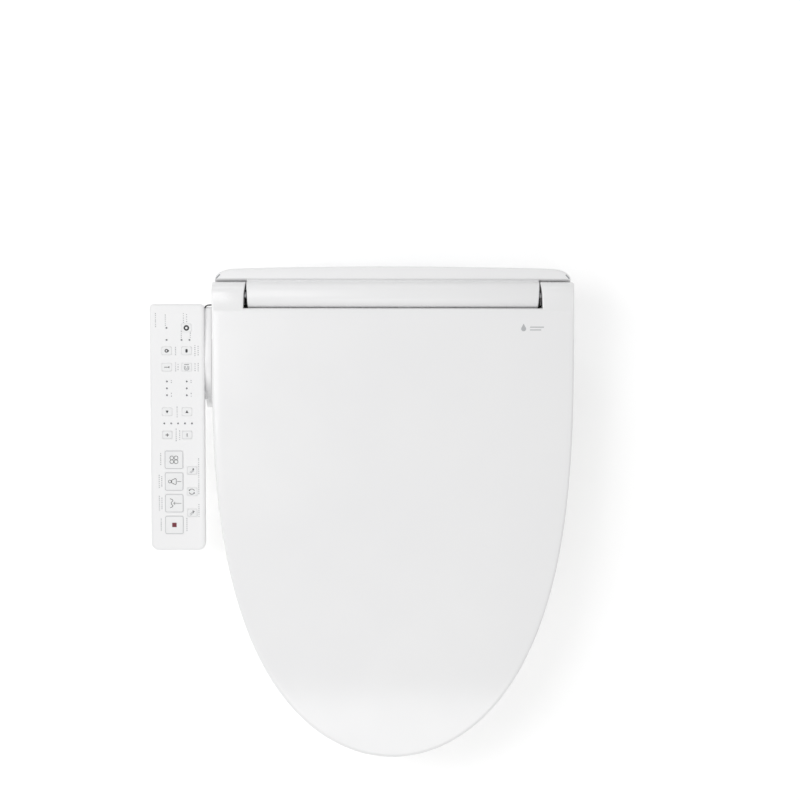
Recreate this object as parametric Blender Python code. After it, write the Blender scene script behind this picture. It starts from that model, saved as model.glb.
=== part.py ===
"""Electric bidet seat: lid, heated seat ring, rear housing with its works, and a side control panel.

Run with: blender --background --python part.py
Lengths in this file are millimetres. add_mesh and the placing functions turn them into metres.
Frame: +Z up, +Y towards the cistern, +X to the right of someone who faces the seat from the front.
The origin is the middle of the mounting plate's underside, which lies on the bowl's deck,
half-way between the two fixing bolts.
"""

import math

import bmesh
import bpy
from mathutils import Matrix, Vector

MM = 0.001
GAP = 0.35  # kept between pieces that rest on each other
ROUND = 16  # sides of a small round piece

# ---- driving dimensions ----
HINGE_Y, HINGE_Z = 18.7, 84.0  # the one axis that lid and seat turn about, along X
HUB_R = 14.5  # round end of the lid arms, and the hinge barrel between them
ARM_IN, ARM_OUT = 163.0, 196.0  # a lid arm, from its inner to its outer face
BARREL_HALF = 157.5  # half the length of the hinge barrel

LID_REAR, LID_LENGTH = 3.9, 484.5  # rear edge between the arms, and the front tip ahead of the origin
LID_TOP = HINGE_Z + HUB_R
LID_WALL = 3.0
LID_EDGE_R = 4.0
LID_SQUARENESS = 3.1  # exponent of the front curve: 2 would be an ellipse
LID_LIP_BOTTOM, LID_LIP_END = 91.0, 189.6  # the short lip along the rear edge, and half its length
SKIRT_REAR, SKIRT_DROP = 62.0, 15.0

BODY_HALF, BODY_FRONT, BODY_BACK = 190.0, -85.5, 47.0
TRAY_BACK, TRAY_BOTTOM, TRAY_TOP = 38.0, 2.0, 47.4
FLOOR_BOTTOM, FLOOR_TOP = 9.0, 12.0
CASE_BOTTOM, WING_TOP = 47.7, 50.5
WALL = 2.8
RIDGE_FRONT, RIDGE_TOP, RIDGE_HALF = 34.0, 88.0, 193.0

SEAT_REAR, SEAT_CENTRE, SEAT_BOTTOM = -88.5, -290.0, 12.0
SEAT_INSET = 6.5  # seat ring inside the lid's outline
SEAT_SPLIT = 19.7
SEAT_ARM_IN, SEAT_ARM_OUT, SEAT_HUB_R = 168.0, 190.0, 10.5
SHAFT_R, SHAFT_HOLE_R = 4.0, 4.6

PANEL_SIZE = (59.4, 269.0)
PANEL_CENTRE = (-233.8, -125.2, 78.0)
PANEL_TILT = math.radians(6.0)
COVER_DEPTH, CASE_DEPTH, PANEL_WALL = 10.0, 26.0, 2.0
BRACKET_BACK, BRACKET_FRONT = 6.5, -102.0

BOLT_X = 70.0  # half of the 140 mm between a bowl's two seat holes
DECK_THICKNESS = 20.0  # ceramic between the plate and the rubber washers
BOLT_END = -58.0

NOZZLE_SLOPE = math.radians(35.0)
NOZZLE_TIP = (-78.0, -8.0)  # Y and Z of the parked tips
NOZZLE_X, NOZZLE_R, NOZZLE_LENGTH, NOZZLE_TRAVEL = 13.0, 6.5, 135.0, 80.0
GEAR_MODULE, PINION_TEETH = 1.0, 12
PINION_R = GEAR_MODULE * PINION_TEETH / 2
RACK_PITCH_LINE = 9.0  # above the nozzle's centre line
PINION_AT = 45.0  # from the parked tip, back along the nozzle
RACK_ADDENDUM, BACKLASH = 0.6, 0.4

# Panel layout, in the panel's own plane: x to the right, y towards the cistern, from its middle
BIG_KEY, BIG_KEY_X, BIG_KEY_PITCH = 20.4, -4.2, 23.8
BIG_KEYS = ["stop_key", "wash_key", "bidet_key", "dry_key"]
BIG_KEY_FIRST_Y = -106.3
SMALL_KEY = (11.0, 9.0)
SMALL_KEYS = {
    "power_key": (10.3, 108.6),
    "eco_key": (-11.2, 83.8),
    "deodorise_key": (10.3, 83.8),
    "water_heat_key": (-11.2, 66.0),
    "seat_heat_key": (10.3, 66.0),
    "nozzle_back_key": (-11.2, 17.5),
    "nozzle_forward_key": (10.3, 17.5),
    "pressure_up_key": (-11.2, -7.8),
    "pressure_down_key": (10.3, -7.8),
    "massage_key": (15.4, -46.6),
    "move_key": (15.4, -69.8),
    "clean_key": (15.4, -93.0),
}
LIGHT_PITCH = 7.5
LIGHTS = (
    [(-11.2, 108.6), (-11.2, 95.6), (5.0, 95.6), (13.6, 95.6)]
    + [(x, 43.0 + LIGHT_PITCH * k) for x in (-11.2, 10.3) for k in (-1, 0, 1)]
    + [(0.6 + LIGHT_PITCH * k, 4.8) for k in (-2, -1, 0, 1, 2)]
)


# ---- materials ----
def material(name, colour, roughness, metallic=0.0):
    made = bpy.data.materials.new(name)
    made.use_nodes = True
    shader = made.node_tree.nodes["Principled BSDF"]
    shader.inputs["Base Color"].default_value = (*colour, 1.0)
    shader.inputs["Roughness"].default_value = roughness
    shader.inputs["Metallic"].default_value = metallic
    return made


# ---- building blocks ----
def add_mesh(name, points, faces, finish=None):
    """One object from points in millimetres, with its faces turned outwards."""
    mesh = bpy.data.meshes.new(name)
    mesh.from_pydata([Vector(p) * MM for p in points], [], faces)
    work = bmesh.new()
    work.from_mesh(mesh)
    bmesh.ops.recalc_face_normals(work, faces=work.faces)
    work.to_mesh(mesh)
    work.free()
    made = bpy.data.objects.new(name, mesh)
    bpy.context.scene.collection.objects.link(made)
    if finish:
        mesh.materials.append(finish)
    return made


def ring_faces(count, first, second):
    """Quads between two rings of points that start at these indices."""
    return [
        (first + i, first + (i + 1) % count, second + (i + 1) % count, second + i)
        for i in range(count)
    ]


def stack(name, rings, finish=None):
    """A closed solid through rings of equal count, with a face over each end."""
    count = len(rings[0])
    points = [p for ring in rings for p in ring]
    faces = [f for k in range(len(rings) - 1) for f in ring_faces(count, k * count, (k + 1) * count)]
    faces.append(tuple(range(count)))
    faces.append(tuple(len(points) - count + i for i in range(count)))
    return add_mesh(name, points, faces, finish)


def loop_round(name, sections, finish=None):
    """A ring-shaped solid: closed sections joined one to the next and the last to the first."""
    count, size = len(sections[0]), len(sections)
    points = [p for section in sections for p in section]
    faces = [f for k in range(size) for f in ring_faces(count, k * count, (k + 1) % size * count)]
    return add_mesh(name, points, faces, finish)


def prism_z(name, outline, low, high, finish=None):
    return stack(name, [[(x, y, z) for x, y in outline] for z in (low, high)], finish)


def prism_x(name, outline, left, right, finish=None):
    """A solid of constant (y, z) outline between two x values."""
    return stack(name, [[(x, y, z) for y, z in outline] for x in (left, right)], finish)


def box(name, low, high, finish=None):
    (x0, y0, z0), (x1, y1, z1) = low, high
    return prism_z(name, [(x0, y0), (x1, y0), (x1, y1), (x0, y1)], z0, z1, finish)


def arc(centre, radius, start, end, steps):
    """Points along an arc, in degrees, both ends included."""
    angles = [math.radians(start + (end - start) * k / steps) for k in range(steps + 1)]
    return [(centre[0] + radius * math.cos(a), centre[1] + radius * math.sin(a)) for a in angles]


def rounded(width, height, radius, centre=(0.0, 0.0), steps=3):
    """A rectangle with round corners, anticlockwise."""
    corners = [(1, 1, 0), (-1, 1, 90), (-1, -1, 180), (1, -1, 270)]
    points = []
    for sx, sy, start in corners:
        middle = (centre[0] + sx * (width / 2 - radius), centre[1] + sy * (height / 2 - radius))
        points += arc(middle, radius, start, start + 90, steps)
    return points


def inset(outline, distance):
    """An anticlockwise outline moved inwards, with its corners mitred."""
    count = len(outline)
    moved = []
    for i in range(count):
        here, last, after = (Vector(outline[k % count][:2]) for k in (i, i - 1, i + 1))
        a, b = (here - last).normalized(), (after - here).normalized()
        side_a, side_b = Vector((-a.y, a.x)), Vector((-b.y, b.x))
        shift = (side_a + side_b) / (1 + side_a.dot(side_b)) * distance
        moved.append((here.x + shift.x, here.y + shift.y))
    return moved


def turned(name, profile, start, direction, finish=None, sides=ROUND):
    """A solid turned about an axis: (distance along, radius) pairs from one end to the other."""
    axis = Vector(direction).normalized()
    across = axis.orthogonal().normalized()
    up = axis.cross(across)
    rings = []
    for along, radius in profile:
        middle = Vector(start) + axis * along
        turn = [2 * math.pi * k / sides for k in range(sides)]
        rings.append([middle + (across * math.cos(a) + up * math.sin(a)) * radius for a in turn])
    return stack(name, rings, finish)


def rod(name, start, direction, length, radius, finish=None, sides=ROUND):
    return turned(name, [(0, radius), (length, radius)], start, direction, finish, sides)


def combine(target, other, operation):
    """Applies a Boolean to the target and removes the other object."""
    step = target.modifiers.new("combine", "BOOLEAN")
    step.operation = operation
    step.solver = "EXACT"
    step.object = other
    graph = bpy.context.evaluated_depsgraph_get()
    mesh = bpy.data.meshes.new_from_object(target.evaluated_get(graph))
    target.modifiers.clear()
    target.data = mesh
    bpy.data.objects.remove(other)
    return target


def cut(target, *others):
    for other in others:
        combine(target, other, "DIFFERENCE")
    return target


def join(target, *others):
    for other in others:
        combine(target, other, "UNION")
    return target


def many(name, outlines, low, high):
    """Several separate upright prisms in one mesh, used as one cutter or one addition."""
    points, faces = [], []
    for outline in outlines:
        first, count = len(points), len(outline)
        points += [(x, y, z) for z in (low, high) for x, y in outline]
        faces += ring_faces(count, first, first + count)
        faces += [tuple(range(first, first + count)), tuple(range(first + count, first + 2 * count))]
    return add_mesh(name, points, faces)


def empty(name, place, tilt=0.0):
    made = bpy.data.objects.new(name, None)
    made.location = Vector(place) * MM
    made.rotation_euler = (tilt, 0.0, 0.0)
    made.empty_display_size = 0.02
    bpy.context.scene.collection.objects.link(made)
    return made


def hang(parent, *pieces):
    """Parents pieces to an empty and moves their origins onto it. They stay where they are."""
    for piece in pieces:
        piece.data.transform(Matrix.Translation(-parent.location))
        piece.parent = parent


def smooth(piece, degrees=35.0):
    piece.data.shade_smooth()
    piece.data.set_sharp_from_angle(angle=math.radians(degrees))


# ---- lid ----
def lid_half_width(y):
    """Half the lid's width: straight sides at the back, a squared ellipse in front."""
    share = min(1.0, max(0.0, -y) / LID_LENGTH)
    return ARM_OUT * math.sqrt(1 - share**LID_SQUARENESS)


def lid_share(y):
    """0 at the lid's rear edge, 1 at its front tip."""
    return min(1.0, max(0.0, (LID_REAR - y) / (LID_REAR + LID_LENGTH)))


def lid_top(y):
    share = lid_share(y)
    return LID_TOP - 27.0 * share**1.3 - 8.0 * max(0.0, (share - 0.8) / 0.2) ** 2


def lid_stations():
    """Y values down one side: even steps on the straight part, then steps along the curve."""
    straight = [LID_REAR - 32.0 * k for k in range(4)]
    first = math.radians(9.0)
    angles = [first + (math.pi / 2 - first) * k / 14 for k in range(15)]
    return straight + [-LID_LENGTH * math.sin(a) ** (2 / LID_SQUARENESS) for a in angles]


def lid_outline():
    """Anticlockwise from the rear left corner, forward down the left side and back up the right."""
    stations = lid_stations()
    left = [(-lid_half_width(y), y) for y in stations[:-1]]
    right = [(-x, y) for x, y in reversed(left)]
    rear = [(x, LID_REAR) for x in (LID_LIP_END, -LID_LIP_END)]
    return left + [(0.0, stations[-1])] + right + rear


def lid_cap(first, sides):
    """Strips across the lid between its left and right edge points, with the rear edge in the first."""
    faces = []
    for k in range(sides):
        left, right = first + k, first + 2 * sides - k
        rear = (right + 1, right + 2) if k == 0 else ()
        tip = (right,) if k == sides - 1 else (right - 1, right)
        faces.append((left, left + 1, *tip, *rear))
    return faces


def skirt_bottom(point):
    """The skirt hangs low at the sides and front, but the rear edge is only a short lip."""
    x, y = point
    if y == LID_REAR and abs(x) <= LID_LIP_END:
        return LID_LIP_BOTTOM
    return SKIRT_REAR - SKIRT_DROP * lid_share(y)


def make_lid(finish):
    outline = lid_outline()
    count, sides = len(outline), len(lid_stations()) - 1
    low = [skirt_bottom(p) for p in outline]
    rings = []

    def add_ring(distance, height=None):
        moved = inset(outline, distance)
        if height is None:
            rings.append([(x, y, z) for (x, y), z in zip(moved, low)])
        else:
            rings.append([(x, y, lid_top(y) + height) for x, y in moved])

    add_ring(0.6)
    add_ring(0.0, -LID_EDGE_R)
    for angle in (30, 60, 90):
        a = math.radians(angle)
        add_ring(LID_EDGE_R * (1 - math.cos(a)), LID_EDGE_R * (math.sin(a) - 1))
    outer = len(rings)
    add_ring(0.6 + LID_WALL)
    add_ring(LID_WALL, -LID_EDGE_R - 1.0)
    add_ring(LID_WALL + 2.0, -LID_WALL)
    points = [p for ring in rings for p in ring]
    faces = []
    for first, last in ((0, outer), (outer, len(rings))):
        for k in range(first, last - 1):
            faces += ring_faces(count, k * count, (k + 1) * count)
        faces += lid_cap((last - 1) * count, sides)
    faces += ring_faces(count, 0, outer * count)
    lid = add_mesh("lid", points, faces, finish)
    for side in (-1, 1):
        join(lid, *lid_arm(side))
        hole_from = side * (ARM_IN - 4.0)
        cut(lid, rod("hole", (hole_from, HINGE_Y, HINGE_Z), (side, 0, 0), 9.0, SHAFT_HOLE_R))
    return lid


def lid_arm(side):
    """The hollow arm: a cane-shaped top wall with a plate on each face."""
    hub = (HINGE_Y, HINGE_Z)
    front = -30.0
    top = lid_top(front)
    cane = arc(hub, HUB_R, 90, -35, 9) + arc(hub, HUB_R - LID_WALL, -35, 90, 9)
    cane += [(front, top - LID_WALL), (front, top - 0.4)]
    plate = arc(hub, HUB_R, 90, -150, 14) + [(front, top - 9.0), (front, top - 0.4)]
    skirt = arc(hub, HUB_R, 90, -90, 12) + [(1.0, SKIRT_REAR), (front, SKIRT_REAR - 1.0), (front, top - 2.0)]
    face = ARM_OUT - 0.1
    spans = [(cane, ARM_IN, face), (plate, ARM_IN, ARM_IN + LID_WALL), (skirt, ARM_OUT - LID_WALL, face)]
    return [prism_x("arm", shape, *sorted((side * a, side * b))) for shape, a, b in spans]


def make_lid_bumper(side, finish):
    """Rubber stop under the lid's front, resting on the seat ring."""
    x, y = side * 105.0, -392.0
    top = lid_top(y - 8.0) - LID_WALL - GAP
    bottom = seat_top_z(y) + GAP
    name = "lid_bumper_left" if side < 0 else "lid_bumper_right"
    profile = [(0, 8.0), (5, 8.0), (top - bottom - 2, 5.5), (top - bottom, 4.0)]
    return turned(name, profile, (x, y, top), (0, 0, -1), finish, 12)


# ---- seat ring ----
def seat_top_z(y):
    """The ring's top: nearly level in front, ramping up towards the hinge at the back."""
    rise = max(0.0, (y + 175.0) / 86.5)
    return 44.0 + 6.0 * min(1.0, (y + 480.0) / 300.0) + 15.0 * rise**1.6


def cross_distance(centre, direction, outline):
    """How far a ray from the centre runs to an outline."""
    best = 0.0
    for i, a in enumerate(outline):
        b = outline[(i + 1) % len(outline)]
        edge, start = Vector(b) - Vector(a), Vector(a) - Vector(centre)
        across = direction.cross(edge)
        if abs(across) < 1e-9:
            continue
        along, share = start.cross(edge) / across, start.cross(direction) / across
        if along > 0 and -1e-9 <= share <= 1 + 1e-9:
            best = max(best, along)
    return best


def seat_edges(steps=44):
    """Matching points on the ring's outer and inner edge, seen from the middle of its opening."""
    fine = [LID_REAR - 10.0 * k for k in range(49)]
    half = [(lid_half_width(y), y) for y in fine]
    outline = [(-x, y) for x, y in half] + [(x, y) for x, y in reversed(half)]
    outer = inset(outline, SEAT_INSET)
    outer = [(x, min(y, SEAT_REAR)) for x, y in outer]
    centre, edges = (0.0, SEAT_CENTRE), []
    for k in range(steps):
        a = 2 * math.pi * (k + 0.5) / steps
        direction = Vector((math.cos(a), math.sin(a)))
        reach = cross_distance(centre, direction, outer)
        hole = (abs(direction.x / 108.0) ** 2.4 + abs(direction.y / 138.0) ** 2.4) ** (-1 / 2.4)
        edges.append((Vector(centre) + direction * reach, Vector(centre) + direction * hole))
    return edges


def seat_ring(name, profile, finish):
    """Sweeps a profile round the ring. Each point is (edge, distance in from it, height):
    the height is counted from the ring's top where it is negative or zero, else from the deck."""
    sections = []
    for outer, inner in seat_edges():
        inward = (inner - outer).normalized()
        section = []
        for edge, distance, height in profile:
            place = outer + inward * distance if edge == "outer" else inner - inward * distance
            top = seat_top_z(place.y)
            section.append((place.x, place.y, height if height > 0 else top + height))
        sections.append(section)
    return loop_round(name, sections, finish)


def make_seat_top(finish):
    skin = 2.5
    profile = [
        ("outer", 0.0, SEAT_SPLIT + GAP),
        ("outer", 0.0, -9.0),
        ("outer", 2.6, -2.6),
        ("outer", 9.0, 0.0),
        ("inner", 16.0, -0.6),
        ("inner", 5.0, -4.0),
        ("inner", 0.0, -11.0),
        ("inner", 0.0, SEAT_SPLIT + GAP),
        ("inner", skin, SEAT_SPLIT + GAP),
        ("inner", skin, -12.0),
        ("inner", 16.0, -0.6 - skin),
        ("outer", 9.0, -skin),
        ("outer", skin, -9.0),
        ("outer", skin, SEAT_SPLIT + GAP),
    ]
    seat = seat_ring("seat_top", profile, finish)
    for side in (-1, 1):
        join(seat, seat_arm(side))
        hub_from = side * (SEAT_ARM_IN - 2.0)
        cut(seat, rod("hole", (hub_from, HINGE_Y, HINGE_Z), (side, 0, 0), 26.0, SHAFT_HOLE_R))
    return seat


def seat_arm(side):
    """From the hinge hub forward over the housing's wing and into the ring's rear."""
    hub = (HINGE_Y, HINGE_Z)
    shape = arc(hub, SEAT_HUB_R, 75, -150, 9)
    shape += [(5.6, 76.6), (-30.0, 60.0), (-84.0, 52.5), (-102.0, 42.0)]
    shape += [(-102.0, 54.0), (-84.0, 66.0), (-30.0, 84.0)]
    return prism_x("arm", shape, *sorted((side * SEAT_ARM_IN, side * (SEAT_ARM_OUT - 0.7))))


def make_seat_base(finish):
    profile = [
        ("outer", 0.0, SEAT_SPLIT),
        ("outer", 0.0, 14.5),
        ("outer", 3.0, SEAT_BOTTOM),
        ("inner", 3.0, SEAT_BOTTOM),
        ("inner", 0.0, 14.5),
        ("inner", 0.0, SEAT_SPLIT),
        ("inner", 2.5, SEAT_SPLIT),
        ("inner", 4.5, 14.8),
        ("outer", 4.5, 14.8),
        ("outer", 2.5, SEAT_SPLIT),
    ]
    return seat_ring("seat_base", profile, finish)


def make_seat_heater(finish):
    """Heating foil laid against the underside of the ring's top."""
    profile = [
        ("outer", 12.0, -3.4),
        ("outer", 12.0, -4.4),
        ("inner", 18.0, -5.2),
        ("inner", 18.0, -4.2),
    ]
    return seat_ring("seat_heater", profile, finish)


def make_seat_bumper(name, x, y, finish):
    profile = [(0, 9.0), (8.0, 9.0), (SEAT_BOTTOM - GAP, 11.0)]
    return turned(name, profile, (x, y, 0.0), (0, 0, 1), finish, 12)


# ---- rear housing ----
def case_profile():
    """The housing in (y, z), anticlockwise from its front foot: rear wall, ridge, barrel, sloping top."""
    hub = (HINGE_Y, HINGE_Z)
    front = arc((BODY_FRONT + 6, 73.5), 6.0, 180, 100, 3)
    barrel = arc(hub, HUB_R, 168, 16, 12)
    ridge = [(36.6, RIDGE_TOP), (43.0, RIDGE_TOP), (45.8, RIDGE_TOP - 1.4), (BODY_BACK, RIDGE_TOP - 5.0)]
    clockwise = [(BODY_FRONT, CASE_BOTTOM)] + front + barrel + ridge + [(BODY_BACK, CASE_BOTTOM)]
    return clockwise[::-1]


def make_top_case(finish):
    profile = case_profile()
    case = prism_x("top_case", profile, -BARREL_HALF, BARREL_HALF, finish)
    ridge = [(RIDGE_FRONT, CASE_BOTTOM), (BODY_BACK, CASE_BOTTOM), (BODY_BACK, RIDGE_TOP - 5.0)]
    ridge += [(45.8, RIDGE_TOP - 1.4), (43.0, RIDGE_TOP), (38.2, RIDGE_TOP), (RIDGE_FRONT, RIDGE_TOP - 8.0)]
    bar = prism_x("bar", ridge, -RIDGE_HALF, RIDGE_HALF)
    depth = 90.0
    plan = rounded(2 * RIDGE_HALF, depth, 12.0, (0.0, BODY_BACK - depth / 2), 5)
    combine(bar, prism_z("plan", plan, 30.0, 100.0), "INTERSECT")
    wing_depth = BODY_BACK - BODY_FRONT
    wing_plan = rounded(2 * BODY_HALF, wing_depth, 8.0, (0.0, BODY_BACK - wing_depth / 2))
    wing = prism_z("wing", wing_plan, CASE_BOTTOM, WING_TOP)
    join(case, bar, wing)
    inner = prism_x("inner", inset(profile, WALL), WALL - BARREL_HALF, BARREL_HALF - WALL)
    pocket = box(
        "pocket",
        (WALL - RIDGE_HALF + 8, RIDGE_FRONT + WALL, WING_TOP),
        (RIDGE_HALF - WALL - 8, BODY_BACK - WALL, RIDGE_TOP - WALL - 4),
    )
    opening = box(
        "opening",
        (WALL - BARREL_HALF, BODY_FRONT + WALL, CASE_BOTTOM - 5),
        (BARREL_HALF - WALL, TRAY_BACK - WALL, WING_TOP + 2),
    )
    cut(case, inner, pocket, opening)
    for side in (-1, 1):
        start = (side * (BARREL_HALF - 6), HINGE_Y, HINGE_Z)
        cut(case, rod("hole", start, (side, 0, 0), 10.0, SHAFT_HOLE_R + 0.4))
    return case


def make_base_tray(finish):
    depth = TRAY_BACK - BODY_FRONT
    middle = (0.0, TRAY_BACK - depth / 2)
    tray = prism_z("base_tray", rounded(2 * BODY_HALF, depth, 8.0, middle), TRAY_BOTTOM, TRAY_TOP, finish)
    hollow = rounded(2 * (BODY_HALF - WALL), depth - 2 * WALL, 5.2, middle)
    cut(
        tray,
        prism_z("upper", hollow, FLOOR_TOP, TRAY_TOP + 5),
        prism_z("lower", hollow, TRAY_BOTTOM - 5, FLOOR_BOTTOM),
        box("nozzle_gap", (-31.5, -76.0, 0.0), (31.5, -24.0, 20.0)),
        box("duct_gap", (35.5, -76.0, 0.0), (64.5, -26.0, 20.0)),
        rod("inlet_gap", (-134.0, TRAY_BACK - 10, 28.0), (0, 1, 0), 20.0, 8.8),
        rod("cord_gap", (134.0, TRAY_BACK - 10, 28.0), (0, 1, 0), 20.0, 7.5),
        box("cartridge_gap", (BODY_HALF - 10, -21.0, 15.0), (BODY_HALF + 5, 21.0, 41.0)),
        box("button_gap", (BODY_HALF - 10, -68.0, 18.5), (BODY_HALF + 5, -42.0, 31.5)),
    )
    return tray


def make_mounting_plate(finish):
    """Slides under the tray. Each bolt head sits in a recess over a slot that runs fore and aft."""
    plate = prism_z("mounting_plate", rounded(220.0, 70.0, 6.0), 0.0, FLOOR_BOTTOM - GAP, finish)
    slots = [rounded(9.4, 24.0, 4.6, (side * BOLT_X, 0.0)) for side in (-1, 1)]
    recesses = [rounded(20.0, 36.0, 4.0, (side * BOLT_X, 0.0)) for side in (-1, 1)]
    return cut(plate, many("slots", slots, -5.0, 12.0), many("recesses", recesses, 3.2, 12.0))


def make_mounting_bolt(name, x, finish):
    head = 3.2 + GAP
    profile = [(0, 8.0), (4.0, 9.0), (4.0, 4.0), (head + 4.0 - BOLT_END, 4.0)]
    return turned(name, profile, (x, 0.0, head + 4.0), (0, 0, -1), finish, 12)


def make_bolt_washer(name, x, finish):
    """Rubber cone that centres the bolt in the bowl's hole from below."""
    low, high = -DECK_THICKNESS - 10.0, -DECK_THICKNESS
    cone = turned(name, [(0, 13.0), (4.0, 13.0), (high - low, 7.0)], (x, 0.0, low), (0, 0, 1), finish, 20)
    return cut(cone, rod("hole", (x, 0.0, low - 5), (0, 0, 1), 25.0, 4.5))


def make_wing_nut(name, x, finish):
    low, high = -44.0, -DECK_THICKNESS - 10.0 - GAP
    profile = [(0, 8.5), (high - low - 3.0, 8.5), (high - low, 12.5)]
    nut = turned(name, profile, (x, 0.0, low), (0, 0, 1), finish)
    wings = rounded(44.0, 4.0, 1.8, (x, 0.0), 2)
    join(nut, prism_z("wings", wings, low + 1.0, high - 1.2))
    return cut(nut, rod("hole", (x, 0.0, low - 5), (0, 0, 1), 30.0, 4.5))


# ---- hinge ----
def make_damper(name, side, finish):
    """Soft-close damper inside the hinge barrel, with a bore for its shaft's end."""
    inner, outer = 96.0, BARREL_HALF - WALL - 0.6
    start = (side * inner, HINGE_Y, HINGE_Z)
    profile = [(0, 8.0), (2.0, 9.5), (outer - inner, 9.5)]
    body = turned(name, profile, start, (side, 0, 0), finish)
    bore = (side * (outer - 14.0), HINGE_Y, HINGE_Z)
    return cut(body, rod("bore", bore, (side, 0, 0), 30.0, SHAFT_HOLE_R))


def make_hinge_shaft(name, side, finish):
    inner, outer = BARREL_HALF - WALL - 12.0, ARM_OUT - LID_WALL - 0.6
    return rod(name, (side * inner, HINGE_Y, HINGE_Z), (side, 0, 0), outer - inner, SHAFT_R, finish)


# ---- nozzles ----
def along_nozzle(back, up=0.0):
    """(y, z) of a point this far back from the parked tips and this far above their centre line."""
    c, s = math.cos(NOZZLE_SLOPE), math.sin(NOZZLE_SLOPE)
    return NOZZLE_TIP[0] + back * c - up * s, NOZZLE_TIP[1] + back * s + up * c


def slanted(name, x_span, back_span, up_span, finish=None):
    """A block square to the nozzles."""
    (b0, b1), (u0, u1) = back_span, up_span
    corners = [along_nozzle(b, u) for b, u in ((b0, u0), (b1, u0), (b1, u1), (b0, u1))]
    return prism_x(name, corners, *x_span, finish)


def rack_outline():
    """Rack bar and teeth in (back, up): one tooth stands exactly under the pinion's centre."""
    pitch = math.pi * GEAR_MODULE
    lean = math.tan(math.radians(20.0))
    root, tip = RACK_PITCH_LINE - 1.2, RACK_PITCH_LINE + RACK_ADDENDUM
    half = pitch / 4 - BACKLASH / 2
    top = []
    for k in range(-2, math.ceil(NOZZLE_TRAVEL / pitch) + 2):
        middle = PINION_AT + k * pitch
        wide, narrow = half + lean * (RACK_PITCH_LINE - root), half - lean * RACK_ADDENDUM
        top += [(middle - wide, root), (middle - narrow, tip), (middle + narrow, tip), (middle + wide, root)]
    first, last, foot = top[0][0] - 2.0, top[-1][0] + 2.0, NOZZLE_R - 1.5
    return [(first, foot), (last, foot), (last, root), *top[::-1], (first, root)]


def make_nozzle(name, x, finish):
    y, z = along_nozzle(0.0)
    direction = (0.0, math.cos(NOZZLE_SLOPE), math.sin(NOZZLE_SLOPE))
    profile = [(0, 3.0), (1.0, 5.2), (3.0, 6.3), (5.0, NOZZLE_R), (NOZZLE_LENGTH, NOZZLE_R)]
    tube = turned(name, profile, (x, y, z), direction, finish)
    outline = [along_nozzle(b, u) for b, u in rack_outline()]
    join(tube, prism_x("rack", outline, x - 1.5, x + 1.5))
    hollow = (x, *along_nozzle(NOZZLE_LENGTH - 60.0))
    return cut(tube, rod("hollow", hollow, direction, 80.0, 4.0, sides=10))


def pinion_outline():
    """Involute teeth with backlash, starting so that a gap faces the rack."""
    base = PINION_R * math.cos(math.radians(20.0))
    tip, root = PINION_R + 0.75 * GEAR_MODULE, PINION_R - 1.0 * GEAR_MODULE
    involute = lambda r: math.sqrt(max(0.0, (r / base) ** 2 - 1)) - math.acos(min(1.0, base / r))
    half = math.pi / (2 * PINION_TEETH) - BACKLASH / (2 * PINION_R) + involute(PINION_R)
    radii = [max(base, root), PINION_R - 0.2, PINION_R + 0.3, tip]
    points = []
    for k in range(PINION_TEETH):
        middle = (k + 0.5) * 2 * math.pi / PINION_TEETH
        flank = [(r, half - involute(r)) for r in radii]
        left = [(root, half)] + flank
        points += [(r, middle - a) for r, a in left] + [(r, middle + a) for r, a in reversed(left)]
    return [(r * math.cos(a), r * math.sin(a)) for r, a in points]


def make_pinion(name, x, side, finish):
    y0, z0 = along_nozzle(PINION_AT, RACK_PITCH_LINE + PINION_R)
    facing = math.atan2(-math.cos(NOZZLE_SLOPE), math.sin(NOZZLE_SLOPE))
    c, s = math.cos(facing), math.sin(facing)
    outline = [(y0 + y * c - z * s, z0 + y * s + z * c) for y, z in pinion_outline()]
    gear = prism_x(name, outline, x - 2.0, x + 2.0, finish)
    return join(gear, rod("axle", (x - side * 1.0, y0, z0), (side, 0, 0), 14.0, 1.5, sides=10))


def make_nozzle_motor(name, x, side, finish):
    y, z = along_nozzle(PINION_AT, RACK_PITCH_LINE + PINION_R)
    start = (x + side * 7.0, y, z)
    profile = [(0, 5.0), (1.5, 5.0), (1.5, 11.0), (15.5, 11.0), (16.5, 10.0)]
    can = turned(name, profile, start, (side, 0, 0), finish)
    return cut(can, rod("bore", (x, y, z), (side, 0, 0), 15.0, 2.1, sides=10))


def make_nozzle_block(finish):
    """Guide with a bore for each nozzle, open above for the racks and the pinions."""
    block = slanted("nozzle_block", (-30.0, 30.0), (1.0, 68.0), (-10.0, 10.0), finish)
    for x in (-NOZZLE_X, NOZZLE_X):
        direction = (0.0, math.cos(NOZZLE_SLOPE), math.sin(NOZZLE_SLOPE))
        cut(block, rod("bore", (x, *along_nozzle(-10.0)), direction, 100.0, NOZZLE_R + 0.7))
        cut(block, slanted("rack_way", (x - 3.0, x + 3.0), (-12.0, 80.0), (0.0, 20.0)))
        side = math.copysign(1.0, x)
        motor = (x + side * 6.65, *along_nozzle(PINION_AT, RACK_PITCH_LINE + PINION_R))
        cut(block, rod("cradle", motor, (side, 0, 0), 20.0, 11.5))
    return block


# ---- water, air and electrics ----
def make_inlet_valve(finish):
    valve = box("inlet_valve", (-150.0, 12.0, 14.0), (-118.0, 32.0, 42.0), finish)
    profile = [(0, 8.0), (8, 8.0), (8, 7.0), (10, 7.0), (10, 8.0), (15, 8.0)]
    nipple = turned("nipple", profile, (-134.0, 31.0, 28.0), (0, 1, 0))
    coil = rod("coil", (-134.0, 22.0, 41.0), (0, 0, 1), 22.0, 9.0)
    join(valve, nipple, coil)
    return cut(valve, rod("bore", (-134.0, 30.0, 28.0), (0, 1, 0), 30.0, 4.5, sides=12))


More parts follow.
